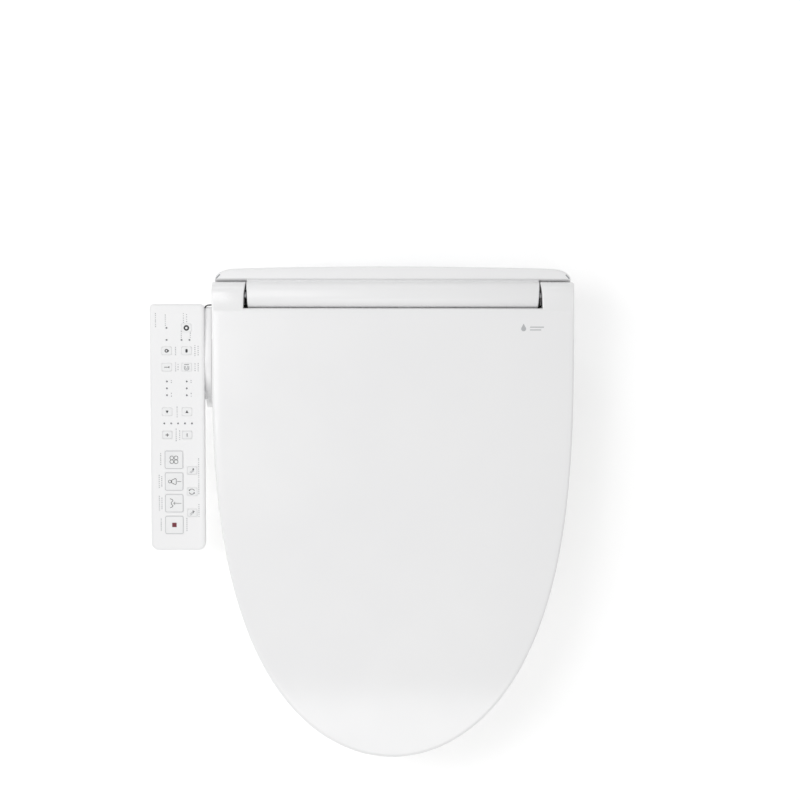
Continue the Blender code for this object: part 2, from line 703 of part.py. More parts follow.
def make_water_heater(finish):
    outline = rounded(62.0, 76.0, 6.0, (-119.0, -33.0))
    heater = prism_z("water_heater", outline, FLOOR_TOP + GAP, 56.0, finish)
    join(heater, rod("outlet", (-90.0, -50.0, 44.0), (1, 0, 0), 14.0, 4.0, sides=12))
    return join(heater, rod("inlet", (-134.0, 2.0, 48.0), (0, 1, 0), 8.5, 4.0, sides=12))


def make_water_pump(finish):
    profile = [(0, 11.0), (2.0, 14.0), (26.0, 14.0), (26.0, 10.0), (44.0, 10.0)]
    pump = turned("water_pump", profile, (-61.0, -22.0, 27.0), (0, 1, 0), finish)
    return join(pump, rod("spout", (-66.0, -16.0, 38.0), (0, 0, 1), 12.0, 3.5, sides=12))


def make_control_board(finish):
    board = box("control_board", (46.0, -74.0, 58.0), (150.0, -2.0, 59.6), finish)
    parts = [
        rounded(30.0, 26.0, 1.0, (68.0, -54.0), 1),
        rounded(16.0, 22.0, 1.0, (104.0, -56.0), 1),
        rounded(12.0, 12.0, 5.9, (130.0, -58.0), 2),
        rounded(12.0, 12.0, 5.9, (130.0, -40.0), 2),
        rounded(34.0, 8.0, 1.0, (84.0, -14.0), 1),
        rounded(20.0, 20.0, 1.0, (100.0, -32.0), 1),
    ]
    return join(board, many("parts", parts, 59.0, 70.0))


BLOWER_X, BLOWER_Y, BLOWER_R = 95.0, -26.0, 30.0
BLOWER_LOW, BLOWER_HIGH = 12.8, 46.0


def blower_shape(name, shrink, finish=None):
    """Round fan house, cross duct and slanting outlet, drawn smaller by shrink for its inside."""
    low, high = BLOWER_LOW + shrink, BLOWER_HIGH - shrink
    house = rod(name, (BLOWER_X, BLOWER_Y, low), (0, 0, 1), high - low, BLOWER_R - shrink, finish, 24)
    left, right = 38.0 + shrink, 62.0 - shrink
    cross = box("cross", (left, -50.0 + shrink, 16.0 + shrink), (80.0, -30.0 - shrink, 34.0 - shrink))
    outlet = slanted("outlet", (left, right), (1.0 - shrink * 4, 46.0), (shrink - 8.0, 8.0 - shrink))
    return join(house, cross, outlet)


def make_blower_case(finish):
    case = blower_shape("blower_case", 0.0, finish)
    cut(case, blower_shape("inner", 1.8))
    return cut(case, rod("eye", (BLOWER_X, BLOWER_Y, BLOWER_HIGH - 5), (0, 0, 1), 10.0, 15.0, sides=20))


def make_blower_fan(finish):
    """Open fan wheel: a back plate, a hub and sixteen forward-leaning blades."""
    low = BLOWER_LOW + 1.8 + 0.8
    wheel = rod("blower_fan", (BLOWER_X, BLOWER_Y, low), (0, 0, 1), 2.0, 25.0, finish, 24)
    blades = []
    for k in range(ROUND):
        a = 2 * math.pi * k / ROUND
        lean = 0.22
        inner = [(17.5, a), (24.5, a + lean), (24.5, a + lean + 0.05), (17.5, a + 0.07)]
        blades.append([(BLOWER_X + r * math.cos(t), BLOWER_Y + r * math.sin(t)) for r, t in inner])
    hub = rod("hub", (BLOWER_X, BLOWER_Y, low + 1), (0, 0, 1), 14.0, 6.0, sides=12)
    return join(wheel, many("blades", blades, low + 1.0, low + 22.0), hub)


def make_dryer_flap(finish):
    """Hangs in front of the outlet's mouth from a bead along its upper edge."""
    flap = slanted("dryer_flap", (38.5, 61.5), (-2.4, -0.9), (-8.0, 7.5), finish)
    y, z = along_nozzle(-1.65, 7.5)
    return join(flap, rod("bead", (38.5, y, z), (1, 0, 0), 23.0, 1.3, sides=10))


def make_cord_gland(finish):
    profile = [(0, 9.0), (2.0, 9.0), (2.0, 7.0), (7.0, 7.0), (12.5, 5.0)]
    gland = turned("cord_gland", profile, (134.0, 32.6, 28.0), (0, 1, 0), finish)
    return cut(gland, rod("cord_hole", (134.0, 30.0, 28.0), (0, 1, 0), 30.0, 3.4, sides=12))


def make_release_button(finish):
    """Pressed inwards to free the housing from its mounting plate."""
    cap = [[(x, y, z + 25.0) for y, z in rounded(w, h, r, (-55.0, 0.0))] for x, w, h, r in (
        (BODY_HALF - 7.0, 29.0, 16.0, 3.0),
        (BODY_HALF - 5.0, 29.0, 16.0, 3.0),
        (BODY_HALF - 5.0, 25.0, 12.0, 3.0),
        (BODY_HALF + 1.6, 25.0, 12.0, 3.0),
        (BODY_HALF + 2.4, 23.0, 10.0, 2.5),
    )]
    return stack("release_button", cap, finish)


def make_deodoriser_cartridge(finish):
    """Carbon cartridge that pulls out of the right-hand side by its slotted face."""
    body = box("deodoriser_cartridge", (145.0, -19.0, 16.5), (BODY_HALF - 1, 19.0, 39.5), finish)
    face = box("face", (BODY_HALF - 2, -20.5, 15.5), (BODY_HALF + 0.8, 20.5, 40.5))
    join(body, face)
    slots = [rounded(3.0, 30.0, 1.4, (148.0 + 6.0 * k, 0.0), 1) for k in range(6)]
    cut(body, many("slots", slots, 10.0, 50.0))
    return cut(body, box("finger_slot", (BODY_HALF - 4, -8.0, 31.0), (BODY_HALF + 5, 8.0, 37.0)))


# ---- control panel, in the panel's own frame: its outer face is z = 0 ----
def big_key_places():
    return {name: (BIG_KEY_X, BIG_KEY_FIRST_Y + BIG_KEY_PITCH * k) for k, name in enumerate(BIG_KEYS)}


def key_outlines(grow):
    """The outline of every key, grown all round."""
    side, (w, h) = BIG_KEY + 2 * grow, SMALL_KEY
    big = [rounded(side, side, 1.6 + grow / 2, p, 1) for p in big_key_places().values()]
    return big + [rounded(w + 2 * grow, h + 2 * grow, 1.2 + grow / 2, p, 1) for p in SMALL_KEYS.values()]


def make_panel_cover(finish):
    width, length = PANEL_SIZE
    levels = [(0.6, -COVER_DEPTH), (0.0, -3.0), (0.8, -1.0), (3.0, 0.0)]
    rings = [[(x, y, z) for x, y in rounded(width - 2 * d, length - 2 * d, 5.0 - d / 2)] for d, z in levels]
    cover = stack("panel_cover", rings, finish)
    hollow = rounded(width - 2 * PANEL_WALL - 1.2, length - 2 * PANEL_WALL - 1.2, 3.0)
    cut(cover, prism_z("hollow", hollow, -COVER_DEPTH - 5, -PANEL_WALL))
    cut(cover, many("key_holes", key_outlines(0.4), -5.0, 5.0))
    holes = [arc(p, 1.3, 0, 300, 5) for p in LIGHTS]
    return cut(cover, many("light_holes", holes, -5.0, 5.0))


def make_key(name, place, size, proud, finish):
    """A cap through its hole with a flange that holds it under the cover."""
    w, h = size
    top, edge = proud, 0.3
    levels = [
        (w + 2.0, h + 2.0, -3.6),
        (w + 2.0, h + 2.0, -PANEL_WALL - GAP),
        (w, h, -PANEL_WALL - GAP),
        (w, h, top - edge),
        (w - 2 * edge, h - 2 * edge, top),
    ]
    rings = [[(x, y, z) for x, y in rounded(a, b, 1.4, place, 1)] for a, b, z in levels]
    return stack(name, rings, finish)


def make_light_guide(finish):
    """A clear plate round the keys with a pip up through the cover for each lamp."""
    plate = prism_z("indicator_light_guide", rounded(46.0, 132.0, 2.0, (0.0, 50.0)), -3.3, -2.4, finish)
    cut(plate, many("windows", key_outlines(1.5)[len(BIG_KEYS) :], -8.0, 2.0))
    pips = [arc(p, 0.9, 0, 300, 5) for p in LIGHTS]
    return join(plate, many("pips", pips, -3.0, -0.1))


def make_panel_board(finish):
    board = prism_z("panel_board", rounded(50.0, 258.0, 3.0), -8.8, -7.2, finish)
    places = [*big_key_places().values(), *SMALL_KEYS.values()]
    switches = [rounded(6.0, 6.0, 0.5, p, 1) for p in places]
    return join(board, many("switches", switches, -7.6, -5.2))


def make_panel_case(finish, frame):
    """The panel's lower shell, moulded in one with the bracket that carries it from the housing."""
    width, length = PANEL_SIZE
    levels = [(7.0, -CASE_DEPTH), (2.5, 3.0 - CASE_DEPTH)]
    levels += [(0.6, -COVER_DEPTH - 5.0), (0.6, -COVER_DEPTH - GAP)]
    rings = [[(x, y, z) for x, y in rounded(width - 2 * d, length - 2 * d, 5.0)] for d, z in levels]
    case = stack("panel_case", rings, finish)
    hollow = [[(x, y, z) for x, y in rounded(width - 2 * d, length - 2 * d, 3.5)] for d, z in (
        (8.0, 2.2 - CASE_DEPTH),
        (4.6, 6.0 - CASE_DEPTH),
        (2.8, 0.0),
    )]
    cut(case, stack("hollow", hollow))
    bridge = box("bridge", (26.9, 30.0, -22.0), (31.0, 112.0, -13.0))
    return join(case, bridge, make_bracket(frame))


def make_bracket(frame):
    """Stands beside the lid: its back is high and level, and its front rolls over and down."""
    high, low, foot, roll = 83.0, 54.0, 16.0, 62.0
    middle = (BRACKET_FRONT + roll, foot + 8.0)
    turn = [math.radians(10 * k) for k in range(10)]
    front = [(middle[0] - roll * math.sin(a), middle[1] + (high - middle[1]) * math.cos(a)) for a in turn]
    side = [(BRACKET_BACK, foot), (BRACKET_BACK, high - 4.0), (BRACKET_BACK - 3.0, high)]
    profile = side + front + [(BRACKET_FRONT, foot)]
    outer_x, lid_side, wall_side = -203.7, -197.3, -BODY_HALF - GAP
    upright = prism_x("upright", profile, outer_x, lid_side)
    lower = prism_x("lower", [(y, min(z, low)) for y, z in profile], outer_x, wall_side)
    near, far = (outer_x + 2.2, BRACKET_FRONT + 20, foot + 4), (wall_side + 5, BRACKET_BACK - 6, low - 6)
    duct = box("duct", near, far)
    bracket = cut(join(upright, lower), duct)
    bracket.data.transform(frame.inverted())
    return bracket


# ---- the whole seat ----
def panel_frame():
    place = Matrix.Translation(Vector(PANEL_CENTRE) * MM)
    return place @ Matrix.Rotation(PANEL_TILT, 4, "X")


def main():
    for old in list(bpy.data.objects):
        bpy.data.objects.remove(old)
    white = material("white_gloss_abs", (0.90, 0.90, 0.91), 0.22)
    ivory = material("white_seat_pp", (0.89, 0.89, 0.90), 0.30)
    key_white = material("key_white", (0.86, 0.87, 0.88), 0.35)
    grey = material("grey_works_plastic", (0.55, 0.57, 0.60), 0.50)
    dark = material("dark_works_plastic", (0.10, 0.10, 0.11), 0.55)
    rubber = material("grey_rubber", (0.42, 0.43, 0.45), 0.80)
    steel = material("stainless_steel", (0.62, 0.62, 0.63), 0.25, 1.0)
    brass = material("plated_brass", (0.72, 0.70, 0.66), 0.30, 1.0)
    board = material("circuit_board", (0.05, 0.25, 0.12), 0.45)
    clear = material("light_pipe", (0.62, 0.63, 0.64), 0.20)
    foil = material("heating_foil", (0.75, 0.55, 0.30), 0.40, 0.6)

    make_mounting_plate(grey)
    for side, word in ((-1, "left"), (1, "right")):
        make_mounting_bolt(f"mounting_bolt_{word}", side * BOLT_X, steel)
        make_bolt_washer(f"bolt_washer_{word}", side * BOLT_X, rubber)
        make_wing_nut(f"wing_nut_{word}", side * BOLT_X, grey)
    make_base_tray(white)
    make_top_case(white)
    make_inlet_valve(brass)
    make_water_heater(grey)
    make_water_pump(dark)
    make_control_board(board)
    make_cord_gland(rubber)
    make_blower_case(grey)
    make_nozzle_block(white)
    make_damper("lid_damper", -1, dark)
    make_damper("seat_damper", 1, dark)

    hinge = (0.0, HINGE_Y, HINGE_Z)
    seat_axis = empty("seat_axis", hinge)
    hang(seat_axis, make_seat_top(ivory), make_seat_base(ivory), make_seat_heater(foil))
    hang(seat_axis, make_hinge_shaft("seat_hinge_shaft", 1, steel))
    feet = {"front_left": (-88.0, -425.0), "front_right": (88.0, -425.0)}
    feet |= {"rear_left": (-136.0, -215.0), "rear_right": (136.0, -215.0)}
    for word, (x, y) in feet.items():
        hang(seat_axis, make_seat_bumper(f"seat_bumper_{word}", x, y, rubber))
    lid_axis = empty("lid_axis", hinge)
    hang(lid_axis, make_lid(white), make_hinge_shaft("lid_hinge_shaft", -1, steel))
    hang(lid_axis, make_lid_bumper(-1, rubber), make_lid_bumper(1, rubber))

    for name, side in (("wash", -1), ("bidet", 1)):
        x = side * NOZZLE_X
        hang(empty(f"{name}_nozzle_axis", (x, *along_nozzle(0.0))), make_nozzle(f"{name}_nozzle", x, white))
        make_nozzle_motor(f"{name}_nozzle_motor", x, side, steel)
        pinion_place = (x, *along_nozzle(PINION_AT, RACK_PITCH_LINE + PINION_R))
        hang(empty(f"{name}_pinion_axis", pinion_place), make_pinion(f"{name}_pinion", x, side, grey))

    hang(empty("fan_axis", (BLOWER_X, BLOWER_Y, BLOWER_LOW)), make_blower_fan(dark))
    flap_place = (50.0, *along_nozzle(-1.65, 7.5))
    hang(empty("flap_axis", flap_place), make_dryer_flap(white))
    hang(empty("button_axis", (BODY_HALF, -55.0, 25.0)), make_release_button(white))
    hang(empty("cartridge_axis", (BODY_HALF, 0.0, 28.0)), make_deodoriser_cartridge(grey))

    panel = empty("panel_frame", PANEL_CENTRE, PANEL_TILT)
    for piece in (
        make_panel_cover(white),
        make_panel_case(white, panel_frame()),
        make_light_guide(clear),
        make_panel_board(board),
    ):
        piece.parent = panel
    sizes = {name: (place, (BIG_KEY, BIG_KEY), 0.8) for name, place in big_key_places().items()}
    sizes |= {name: (place, SMALL_KEY, 0.3) for name, place in SMALL_KEYS.items()}
    for name, (place, size, proud) in sizes.items():
        key = make_key(name, place, size, proud, key_white)
        key.data.transform(Matrix.Translation(-Vector((*place, 0.0)) * MM))
        key.location = Vector((*place, 0.0)) * MM
        key.parent = panel

    for piece in bpy.data.objects:
        if piece.type == "MESH":
            smooth(piece)


main()
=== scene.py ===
# %% [markdown]
# # Electric bidet seat
# A bidet seat replaces the plain seat of a toilet bowl. A lid and a heated ring turn on one hinge
# line, a housing behind them holds the pump, heater, fan and two spray nozzles, and a key panel
# stands beside the lid on a bracket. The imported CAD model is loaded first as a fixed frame: it
# says where every piece is and how it moves. This script gives those pieces their real surfaces.

# %% Load the frame and keep its box
import math

import bmesh
import bpy
from mathutils import Matrix, Vector


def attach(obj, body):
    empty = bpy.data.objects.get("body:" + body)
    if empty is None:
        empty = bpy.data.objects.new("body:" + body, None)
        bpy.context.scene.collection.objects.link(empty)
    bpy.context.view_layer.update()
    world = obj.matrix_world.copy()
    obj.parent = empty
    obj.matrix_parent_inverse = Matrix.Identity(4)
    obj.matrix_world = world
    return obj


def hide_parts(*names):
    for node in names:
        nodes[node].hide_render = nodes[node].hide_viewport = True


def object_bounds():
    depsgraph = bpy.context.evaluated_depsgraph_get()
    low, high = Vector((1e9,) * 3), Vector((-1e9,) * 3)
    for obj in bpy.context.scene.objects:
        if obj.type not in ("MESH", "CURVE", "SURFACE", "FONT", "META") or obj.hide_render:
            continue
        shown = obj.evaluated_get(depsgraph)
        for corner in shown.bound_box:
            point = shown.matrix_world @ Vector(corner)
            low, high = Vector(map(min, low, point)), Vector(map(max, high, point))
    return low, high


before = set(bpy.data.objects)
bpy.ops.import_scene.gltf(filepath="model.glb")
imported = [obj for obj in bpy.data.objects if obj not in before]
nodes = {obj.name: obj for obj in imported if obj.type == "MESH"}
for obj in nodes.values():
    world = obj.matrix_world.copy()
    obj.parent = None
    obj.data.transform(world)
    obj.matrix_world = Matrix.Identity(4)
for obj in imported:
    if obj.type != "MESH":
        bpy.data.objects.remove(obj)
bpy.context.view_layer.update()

# %% [markdown]
# ## Colours and nodes
# Paint charts give colours as sRGB hex codes, but shaders add light in linear numbers, so one
# function turns the first into the second. A second small function adds any node: its settings
# are attributes, and its inputs are plain values or the outputs of other nodes.

# %% Colour and node helpers
MM = 0.001


def linear(code):
    """An sRGB hex colour as linear red, green, blue and a full alpha."""
    shares = [int(code[i : i + 2], 16) / 255 for i in (0, 2, 4)]
    return [c / 12.92 if c <= 0.04045 else ((c + 0.055) / 1.055) ** 2.4 for c in shares] + [1.0]


def add_node(tree, kind, settings=None, inputs=None):
    node = tree.nodes.new(kind)
    for name, value in (settings or {}).items():
        setattr(node, name, value)
    for name, value in (inputs or {}).items():
        if isinstance(value, bpy.types.NodeSocket):
            tree.links.new(value, node.inputs[name])
        else:
            node.inputs[name].default_value = value
    return node


def grain_scale(size_mm):
    """Noise scale, in cycles per metre, for a pattern of this size."""
    return 1.0 / (size_mm * MM)


print("white ABS in linear numbers:", [round(c, 3) for c in linear("F4F4F5")])

# %% [markdown]
# ## Moulded plastics
# Every shell here is injection moulded. Such a surface is never one flat value: the melt leaves
# slow waves of tint where it flowed, the polished mould leaves an orange peel a few millimetres
# wide, and handling leaves soft patches of haze. One function draws those three at sizes given
# in millimetres, and each plastic below sets its own colour, gloss and texture.

# %% Moulded plastic
def new_material(name, ior=None):
    """A node material with its tree, its shader and the Object coordinates."""
    made = bpy.data.materials.new(name)
    made.use_nodes = True
    tree = made.node_tree
    shader = tree.nodes["Principled BSDF"]
    if ior:
        shader.inputs["IOR"].default_value = ior
    return made, tree, shader, add_node(tree, "ShaderNodeTexCoord").outputs["Object"]


def noise(tree, place, size_mm, detail, roughness=0.5):
    return add_node(tree, "ShaderNodeTexNoise", None, {
        "Vector": place, "Scale": grain_scale(size_mm), "Detail": detail,
        "Roughness": roughness}).outputs["Fac"]


def set_tint(tree, shader, share, low, high):
    mixed = add_node(tree, "ShaderNodeMix", {"data_type": "RGBA"}, {
        0: share, 6: linear(low), 7: linear(high)})
    tree.links.new(mixed.outputs[2], shader.inputs["Base Color"])


def set_gloss(tree, shader, share, rough, start=0.0, end=1.0):
    """Roughness runs from rough[0] to rough[1] while share runs from start to end."""
    spread = add_node(tree, "ShaderNodeMapRange", None, {
        "Value": share, "From Min": start, "From Max": end, "To Min": rough[0], "To Max": rough[1]})
    tree.links.new(spread.outputs["Result"], shader.inputs["Roughness"])


def add_bump(tree, shader, height, strength, distance):
    """Lays a bump over any bump that the shader has already."""
    bump = add_node(tree, "ShaderNodeBump", None, {
        "Height": height, "Strength": strength, "Distance": distance})
    for link in shader.inputs["Normal"].links:
        tree.links.new(link.from_socket, bump.inputs["Normal"])
    tree.links.new(bump.outputs["Normal"], shader.inputs["Normal"])


HAZE_MM, PEEL_DEPTH, PIT_DEPTH = 38.0, 0.0004, 0.00012


def moulded(name, low, high, gloss, peel_mm, peel, ior=1.53, flow_mm=120.0, fine_mm=None, fine=0.0):
    """low and high are the tint's two ends, and gloss is the lowest and highest roughness."""
    made, tree, shader, place = new_material(name, ior)
    set_tint(tree, shader, noise(tree, place, flow_mm, 3.0, 0.45), low, high)
    set_gloss(tree, shader, noise(tree, place, HAZE_MM, 4.0, 0.6), gloss, 0.3, 0.7)
    add_bump(tree, shader, noise(tree, place, peel_mm, 2.0), peel, PEEL_DEPTH)
    if fine_mm:
        add_bump(tree, shader, noise(tree, place, fine_mm, 3.0, 0.65), fine, PIT_DEPTH)
    return made


lid_abs = moulded("moulded_white_abs_gloss", "F1F1F2", "F6F6F6", (0.17, 0.27), 3.2, 0.10)
housing_abs = moulded("moulded_white_abs_satin", "F0F0F1", "F5F5F5", (0.285, 0.37), 2.6, 0.10)
seat_pp = moulded("moulded_white_polypropylene", "EFEFEC", "F5F5F3", (0.30, 0.42), 2.2, 0.12,
                  ior=1.49)
key_abs = moulded("moulded_key_cap_abs", "EDEEEF", "F4F4F4", (0.30, 0.42), 1.6, 0.10, flow_mm=18.0)
film = moulded("silk_polyester_overlay", "F2F2F3", "F6F6F6", (0.38, 0.46), 6.0, 0.04,
               ior=1.64, flow_mm=60.0)
grey_nylon = moulded("glass_filled_grey_nylon", "B4B8BD", "C8CBCE", (0.46, 0.62), 1.8, 0.25,
                     flow_mm=30.0, fine_mm=0.9, fine=0.6)
dark_nylon = moulded("glass_filled_black_nylon", "1D1D1F", "2C2C2F", (0.48, 0.66), 1.8, 0.25,
                     flow_mm=30.0, fine_mm=0.9, fine=0.6)
print("plastics:", len(bpy.data.materials))

# %% [markdown]
# ## Rubber, inks and lenses
# The bumpers are moulded silicone rubber: no gloss, and a bloom of dust that clears in patches.
# The legends are screen-printed ink, a film so thin that its colour varies with the mesh that it
# was pushed through. The lamps are pips of smoked acrylic, dark grey while they are off.

# %% Rubber, inks and lamp lenses
grey_rubber = moulded("silicone_rubber_grey", "8E9194", "A6A8AA", (0.66, 0.86), 1.2, 0.3,
                      ior=1.43, flow_mm=14.0, fine_mm=0.8, fine=0.5)
black_rubber = moulded("epdm_rubber_black", "0B0B0C", "1B1B1C", (0.62, 0.84), 1.2, 0.3,
                       flow_mm=12.0, fine_mm=0.8, fine=0.5)


def screen_ink(name, thin, full, mesh_mm=0.45):
    """Printed ink, drawn with a coarser mesh than the real 0.1 mm one so that it shows."""
    made, tree, shader, place = new_material(name, 1.5)
    mesh_marks = noise(tree, place, mesh_mm, 1.0)
    set_tint(tree, shader, mesh_marks, thin, full)
    set_gloss(tree, shader, mesh_marks, (0.52, 0.40))
    return made


charcoal_ink = screen_ink("screen_ink_charcoal", "3A3B3D", "1F2022")
grey_ink = screen_ink("screen_ink_pale_grey", "C4C5C7", "AEB0B2")
# Painted shade: the next grey draws the shade of the gaps round the big keys, as a line on each
# key.
key_gap_shade_ink = screen_ink("painted_key_gap_shade_grey", "C2C3C5", "B2B3B5")
line_ink_dark = screen_ink("screen_ink_mid_grey", "77797C", "5F6164")
# Painted shade: this faint grey draws the shade of the gaps round four of the small keys.
faint_key_gap_shade_ink = screen_ink("painted_faint_key_gap_shade_grey", "E0E0E1", "D6D6D8")
maroon_ink = screen_ink("screen_ink_maroon", "7C2A38", "6A1B2A")
smoked_acrylic = screen_ink("smoked_acrylic_lens", "8B8D90", "6E7073", 0.6)
smoked_acrylic.node_tree.nodes["Principled BSDF"].inputs["Coat Weight"].default_value = 0.6
print("materials so far:", len(bpy.data.materials))

# %% [markdown]
# ## Metals and the works inside
# The bolts and motor cans are stainless steel, brushed as they turned, so their scratches run
# round one axis and the noise is stretched along the others. The valve is brass under a thin
# nickel plate. The circuit boards are glass epoxy under green solder mask, whose copper tracks
# stand a few hundredths of a millimetre proud and lighten it in straight bands.

# %% Metals, boards and the heating foil
def metal(name, low, high, rough, stretch, scratch):
    """Brushed or plated metal. stretch scales the scratches along X, Y and Z."""
    made, tree, shader, place = new_material(name)
    shader.inputs["Metallic"].default_value = 1.0
    drawn = add_node(tree, "ShaderNodeMapping", None, {"Vector": place, "Scale": stretch})
    scratches = noise(tree, drawn.outputs["Vector"], 4.0, 4.0)
    set_tint(tree, shader, scratches, low, high)
    set_gloss(tree, shader, scratches, rough)
    add_bump(tree, shader, scratches, scratch, 0.00005)
    return made


def banded(name, ground, band, pitch_mm, rough, direction="DIAGONAL"):
    """A sheet with straight conductors: circuit board tracks, or the strips of a heating foil."""
    made, tree, shader, place = new_material(name)
    # A wave texture repeats every 2 pi / 20 of its scaled input.
    tracks = add_node(tree, "ShaderNodeTexWave", {"bands_direction": direction}, {
        "Vector": place, "Scale": grain_scale(pitch_mm) * math.pi / 10, "Distortion": 0.6,
        "Detail": 1.0, "Detail Scale": 0.4})
    edge = add_node(tree, "ShaderNodeMapRange", None, {
        "Value": tracks.outputs["Fac"], "From Min": 0.55, "From Max": 0.7}).outputs["Result"]
    set_tint(tree, shader, edge, ground, band)
    set_gloss(tree, shader, edge, rough)
    add_bump(tree, shader, edge, 0.5, 0.00008)
    return made


steel = metal("brushed_stainless_steel", "A9AAAC", "C9CACB", (0.22, 0.38), (0.08, 1.0, 1.0), 0.35)
plated = metal("nickel_plated_brass", "B9B4A8", "D2CEC4", (0.20, 0.34), (1.0, 1.0, 0.4), 0.2)
solder_mask = banded("green_solder_mask_board", "0E4A2B", "1D6B41", 1.6, (0.42, 0.30))
heating_foil = banded("etched_heating_foil", "B98A3E", "C9C6BE", 5.0, (0.45, 0.28), "X")
print("metal and sheet finishes:", steel.name, plated.name, solder_mask.name, heating_foil.name)

# %% [markdown]
# ## Building blocks
# All sizes below are millimetres, as on a drawing, and are turned to metres when a mesh is made.
# Most moulded pieces are a stack of rings or an outline pushed along one axis, then joined or
# cut by Booleans. An outline's corners are rounded before it is used, because a sharp corner
# catches no light, and no moulded part has one.

# %% Mesh helpers
def new_object(name, data):
    made = bpy.data.objects.new(name, data)
    bpy.context.scene.collection.objects.link(made)
    return made


def add_mesh(name, points, faces):
    """One object from points in millimetres, with its faces turned outwards."""
    mesh = bpy.data.meshes.new(name)
    mesh.from_pydata([Vector(p) * MM for p in points], [], faces)
    work = bmesh.new()
    work.from_mesh(mesh)
    bmesh.ops.recalc_face_normals(work, faces=work.faces)
    work.to_mesh(mesh)
    work.free()
    return new_object(name, mesh)


def ring_faces(count, first, second):
    """Quads between two rings of points that start at these indices."""
    return [
        (first + i, first + (i + 1) % count, second + (i + 1) % count, second + i)
        for i in range(count)
    ]


def stack(name, rings):
    """A closed solid through rings of equal count, with a face over each end."""
    count = len(rings[0])
    points = [p for ring in rings for p in ring]
    starts = range(0, len(points) - count, count)
    faces = [f for k in starts for f in ring_faces(count, k, k + count)]
    faces.append(tuple(range(count)))
    faces.append(tuple(len(points) - count + i for i in range(count)))
    return add_mesh(name, points, faces)


def loop_round(name, sections):
    """A ring-shaped solid: closed sections joined one to the next and the last to the first."""
    count, size = len(sections[0]), len(sections)
    points = [p for section in sections for p in section]
    faces = [f for k in range(size) for f in ring_faces(count, k * count, (k + 1) % size * count)]
    return add_mesh(name, points, faces)


def arc(centre, radius, start, end, steps):
    """Points along an arc, in degrees, both ends included."""
    angles = [math.radians(start + (end - start) * k / steps) for k in range(steps + 1)]
    return [(centre[0] + radius * math.cos(a), centre[1] + radius * math.sin(a)) for a in angles]


def squared_arc(centre, radius, power, start, end, steps):
    """An arc whose corners swell outwards: power 2 is a circle, and more is squarer."""
    points = []
    for k in range(steps + 1):
        a = math.radians(start + (end - start) * k / steps)
        c, s = math.cos(a), math.sin(a)
        reach = radius * (abs(c) ** power + abs(s) ** power) ** (-1 / power)
        points.append((centre[0] + reach * c, centre[1] + reach * s))
    return points


def rounded(width, height, radius, centre=(0.0, 0.0), steps=6):
    """A rectangle with round corners, anticlockwise. radius may give the rear and front corners."""
    rear, front = radius if isinstance(radius, tuple) else (radius, radius)
    points = []
    for sx, sy, start in ((1, 1, 0), (-1, 1, 90), (-1, -1, 180), (1, -1, 270)):
        r = rear if sy > 0 else front
        middle = (centre[0] + sx * (width / 2 - r), centre[1] + sy * (height / 2 - r))
        points += arc(middle, r, start, start + 90, steps)
    return points


def inset(outline, distance):
    """An anticlockwise outline moved inwards, with its corners mitred."""
    count = len(outline)
    moved = []
    for i in range(count):
        here, last, after = (Vector(outline[k % count][:2]) for k in (i, i - 1, i + 1))
        a, b = (here - last).normalized(), (after - here).normalized()
        side_a, side_b = Vector((-a.y, a.x)), Vector((-b.y, b.x))
        shift = (side_a + side_b) / (1 + side_a.dot(side_b)) * distance
        moved.append((here.x + shift.x, here.y + shift.y))
    return moved


def soft_corners(points, radii, steps=4):
    """A closed outline with each corner rounded over up to the length that radii gives for it."""
    count = len(points)
    made = []
    for i, point in enumerate(points):
        here, last, after = (Vector(points[k % count]) for k in (i, i - 1, i + 1))
        reach = radii if isinstance(radii, (int, float)) else radii[i]
        if reach <= 0:
            made.append(tuple(here))
            continue
        a = here + (last - here).normalized() * min(reach, 0.48 * (last - here).length)
        b = here + (after - here).normalized() * min(reach, 0.48 * (after - here).length)
        for k in range(steps + 1):
            t = k / steps
            made.append(tuple(a * (1 - t) ** 2 + here * 2 * t * (1 - t) + b * t**2))
    return made


print("a rounded square has", len(rounded(10.0, 10.0, 2.0)), "points")


# %% Prisms, turned pieces and Booleans
def area(outline):
    turns = zip(outline, outline[1:] + outline[:1])
    return sum(a[0] * b[1] - b[0] * a[1] for a, b in turns) / 2


def round_ended(outline, low, high, radius, steps):
    """(outline, level) pairs for a prism, with its end edges rounded if radius is not zero."""
    if radius <= 0:
        return [(outline, low), (outline, high)]
    outline = outline if area(outline) > 0 else outline[::-1]
    turns = [math.pi / 2 * k / steps for k in range(steps + 1)]
    start = [(radius * (1 - math.sin(a)), low + radius * (1 - math.cos(a))) for a in turns]
    levels = start + [(d, high + low - level) for d, level in reversed(start)]
    return [(inset(outline, d), level) for d, level in levels]


def prism_z(name, outline, low, high, radius=0.0, steps=3):
    """A solid of constant (x, y) outline between two heights."""
    levels = round_ended(outline, low, high, radius, steps)
    return stack(name, [[(x, y, z) for x, y in shape] for shape, z in levels])


def prism_x(name, outline, left, right, radius=0.0, steps=3):
    """A solid of constant (y, z) outline between two x values."""
    levels = round_ended(outline, left, right, radius, steps)
    return stack(name, [[(x, y, z) for y, z in shape] for shape, x in levels])


def box(name, low, high, radius=0.0):
    (x0, y0, z0), (x1, y1, z1) = low, high
    return prism_z(name, [(x0, y0), (x1, y0), (x1, y1), (x0, y1)], z0, z1, radius)


def turned(name, profile, start, direction, sides=48):
    """A solid turned about an axis: (distance along, radius) pairs from one end to the other."""
    axis = Vector(direction).normalized()
    across = axis.orthogonal().normalized()
    up = axis.cross(across)
    rings = []
    for along, radius in profile:
        middle = Vector(start) + axis * along
        turn = [2 * math.pi * k / sides for k in range(sides)]
        rings.append([middle + (across * math.cos(a) + up * math.sin(a)) * radius for a in turn])
    return stack(name, rings)


def rod(name, start, direction, length, radius, sides=32):
    return turned(name, [(0, radius), (length, radius)], start, direction, sides)


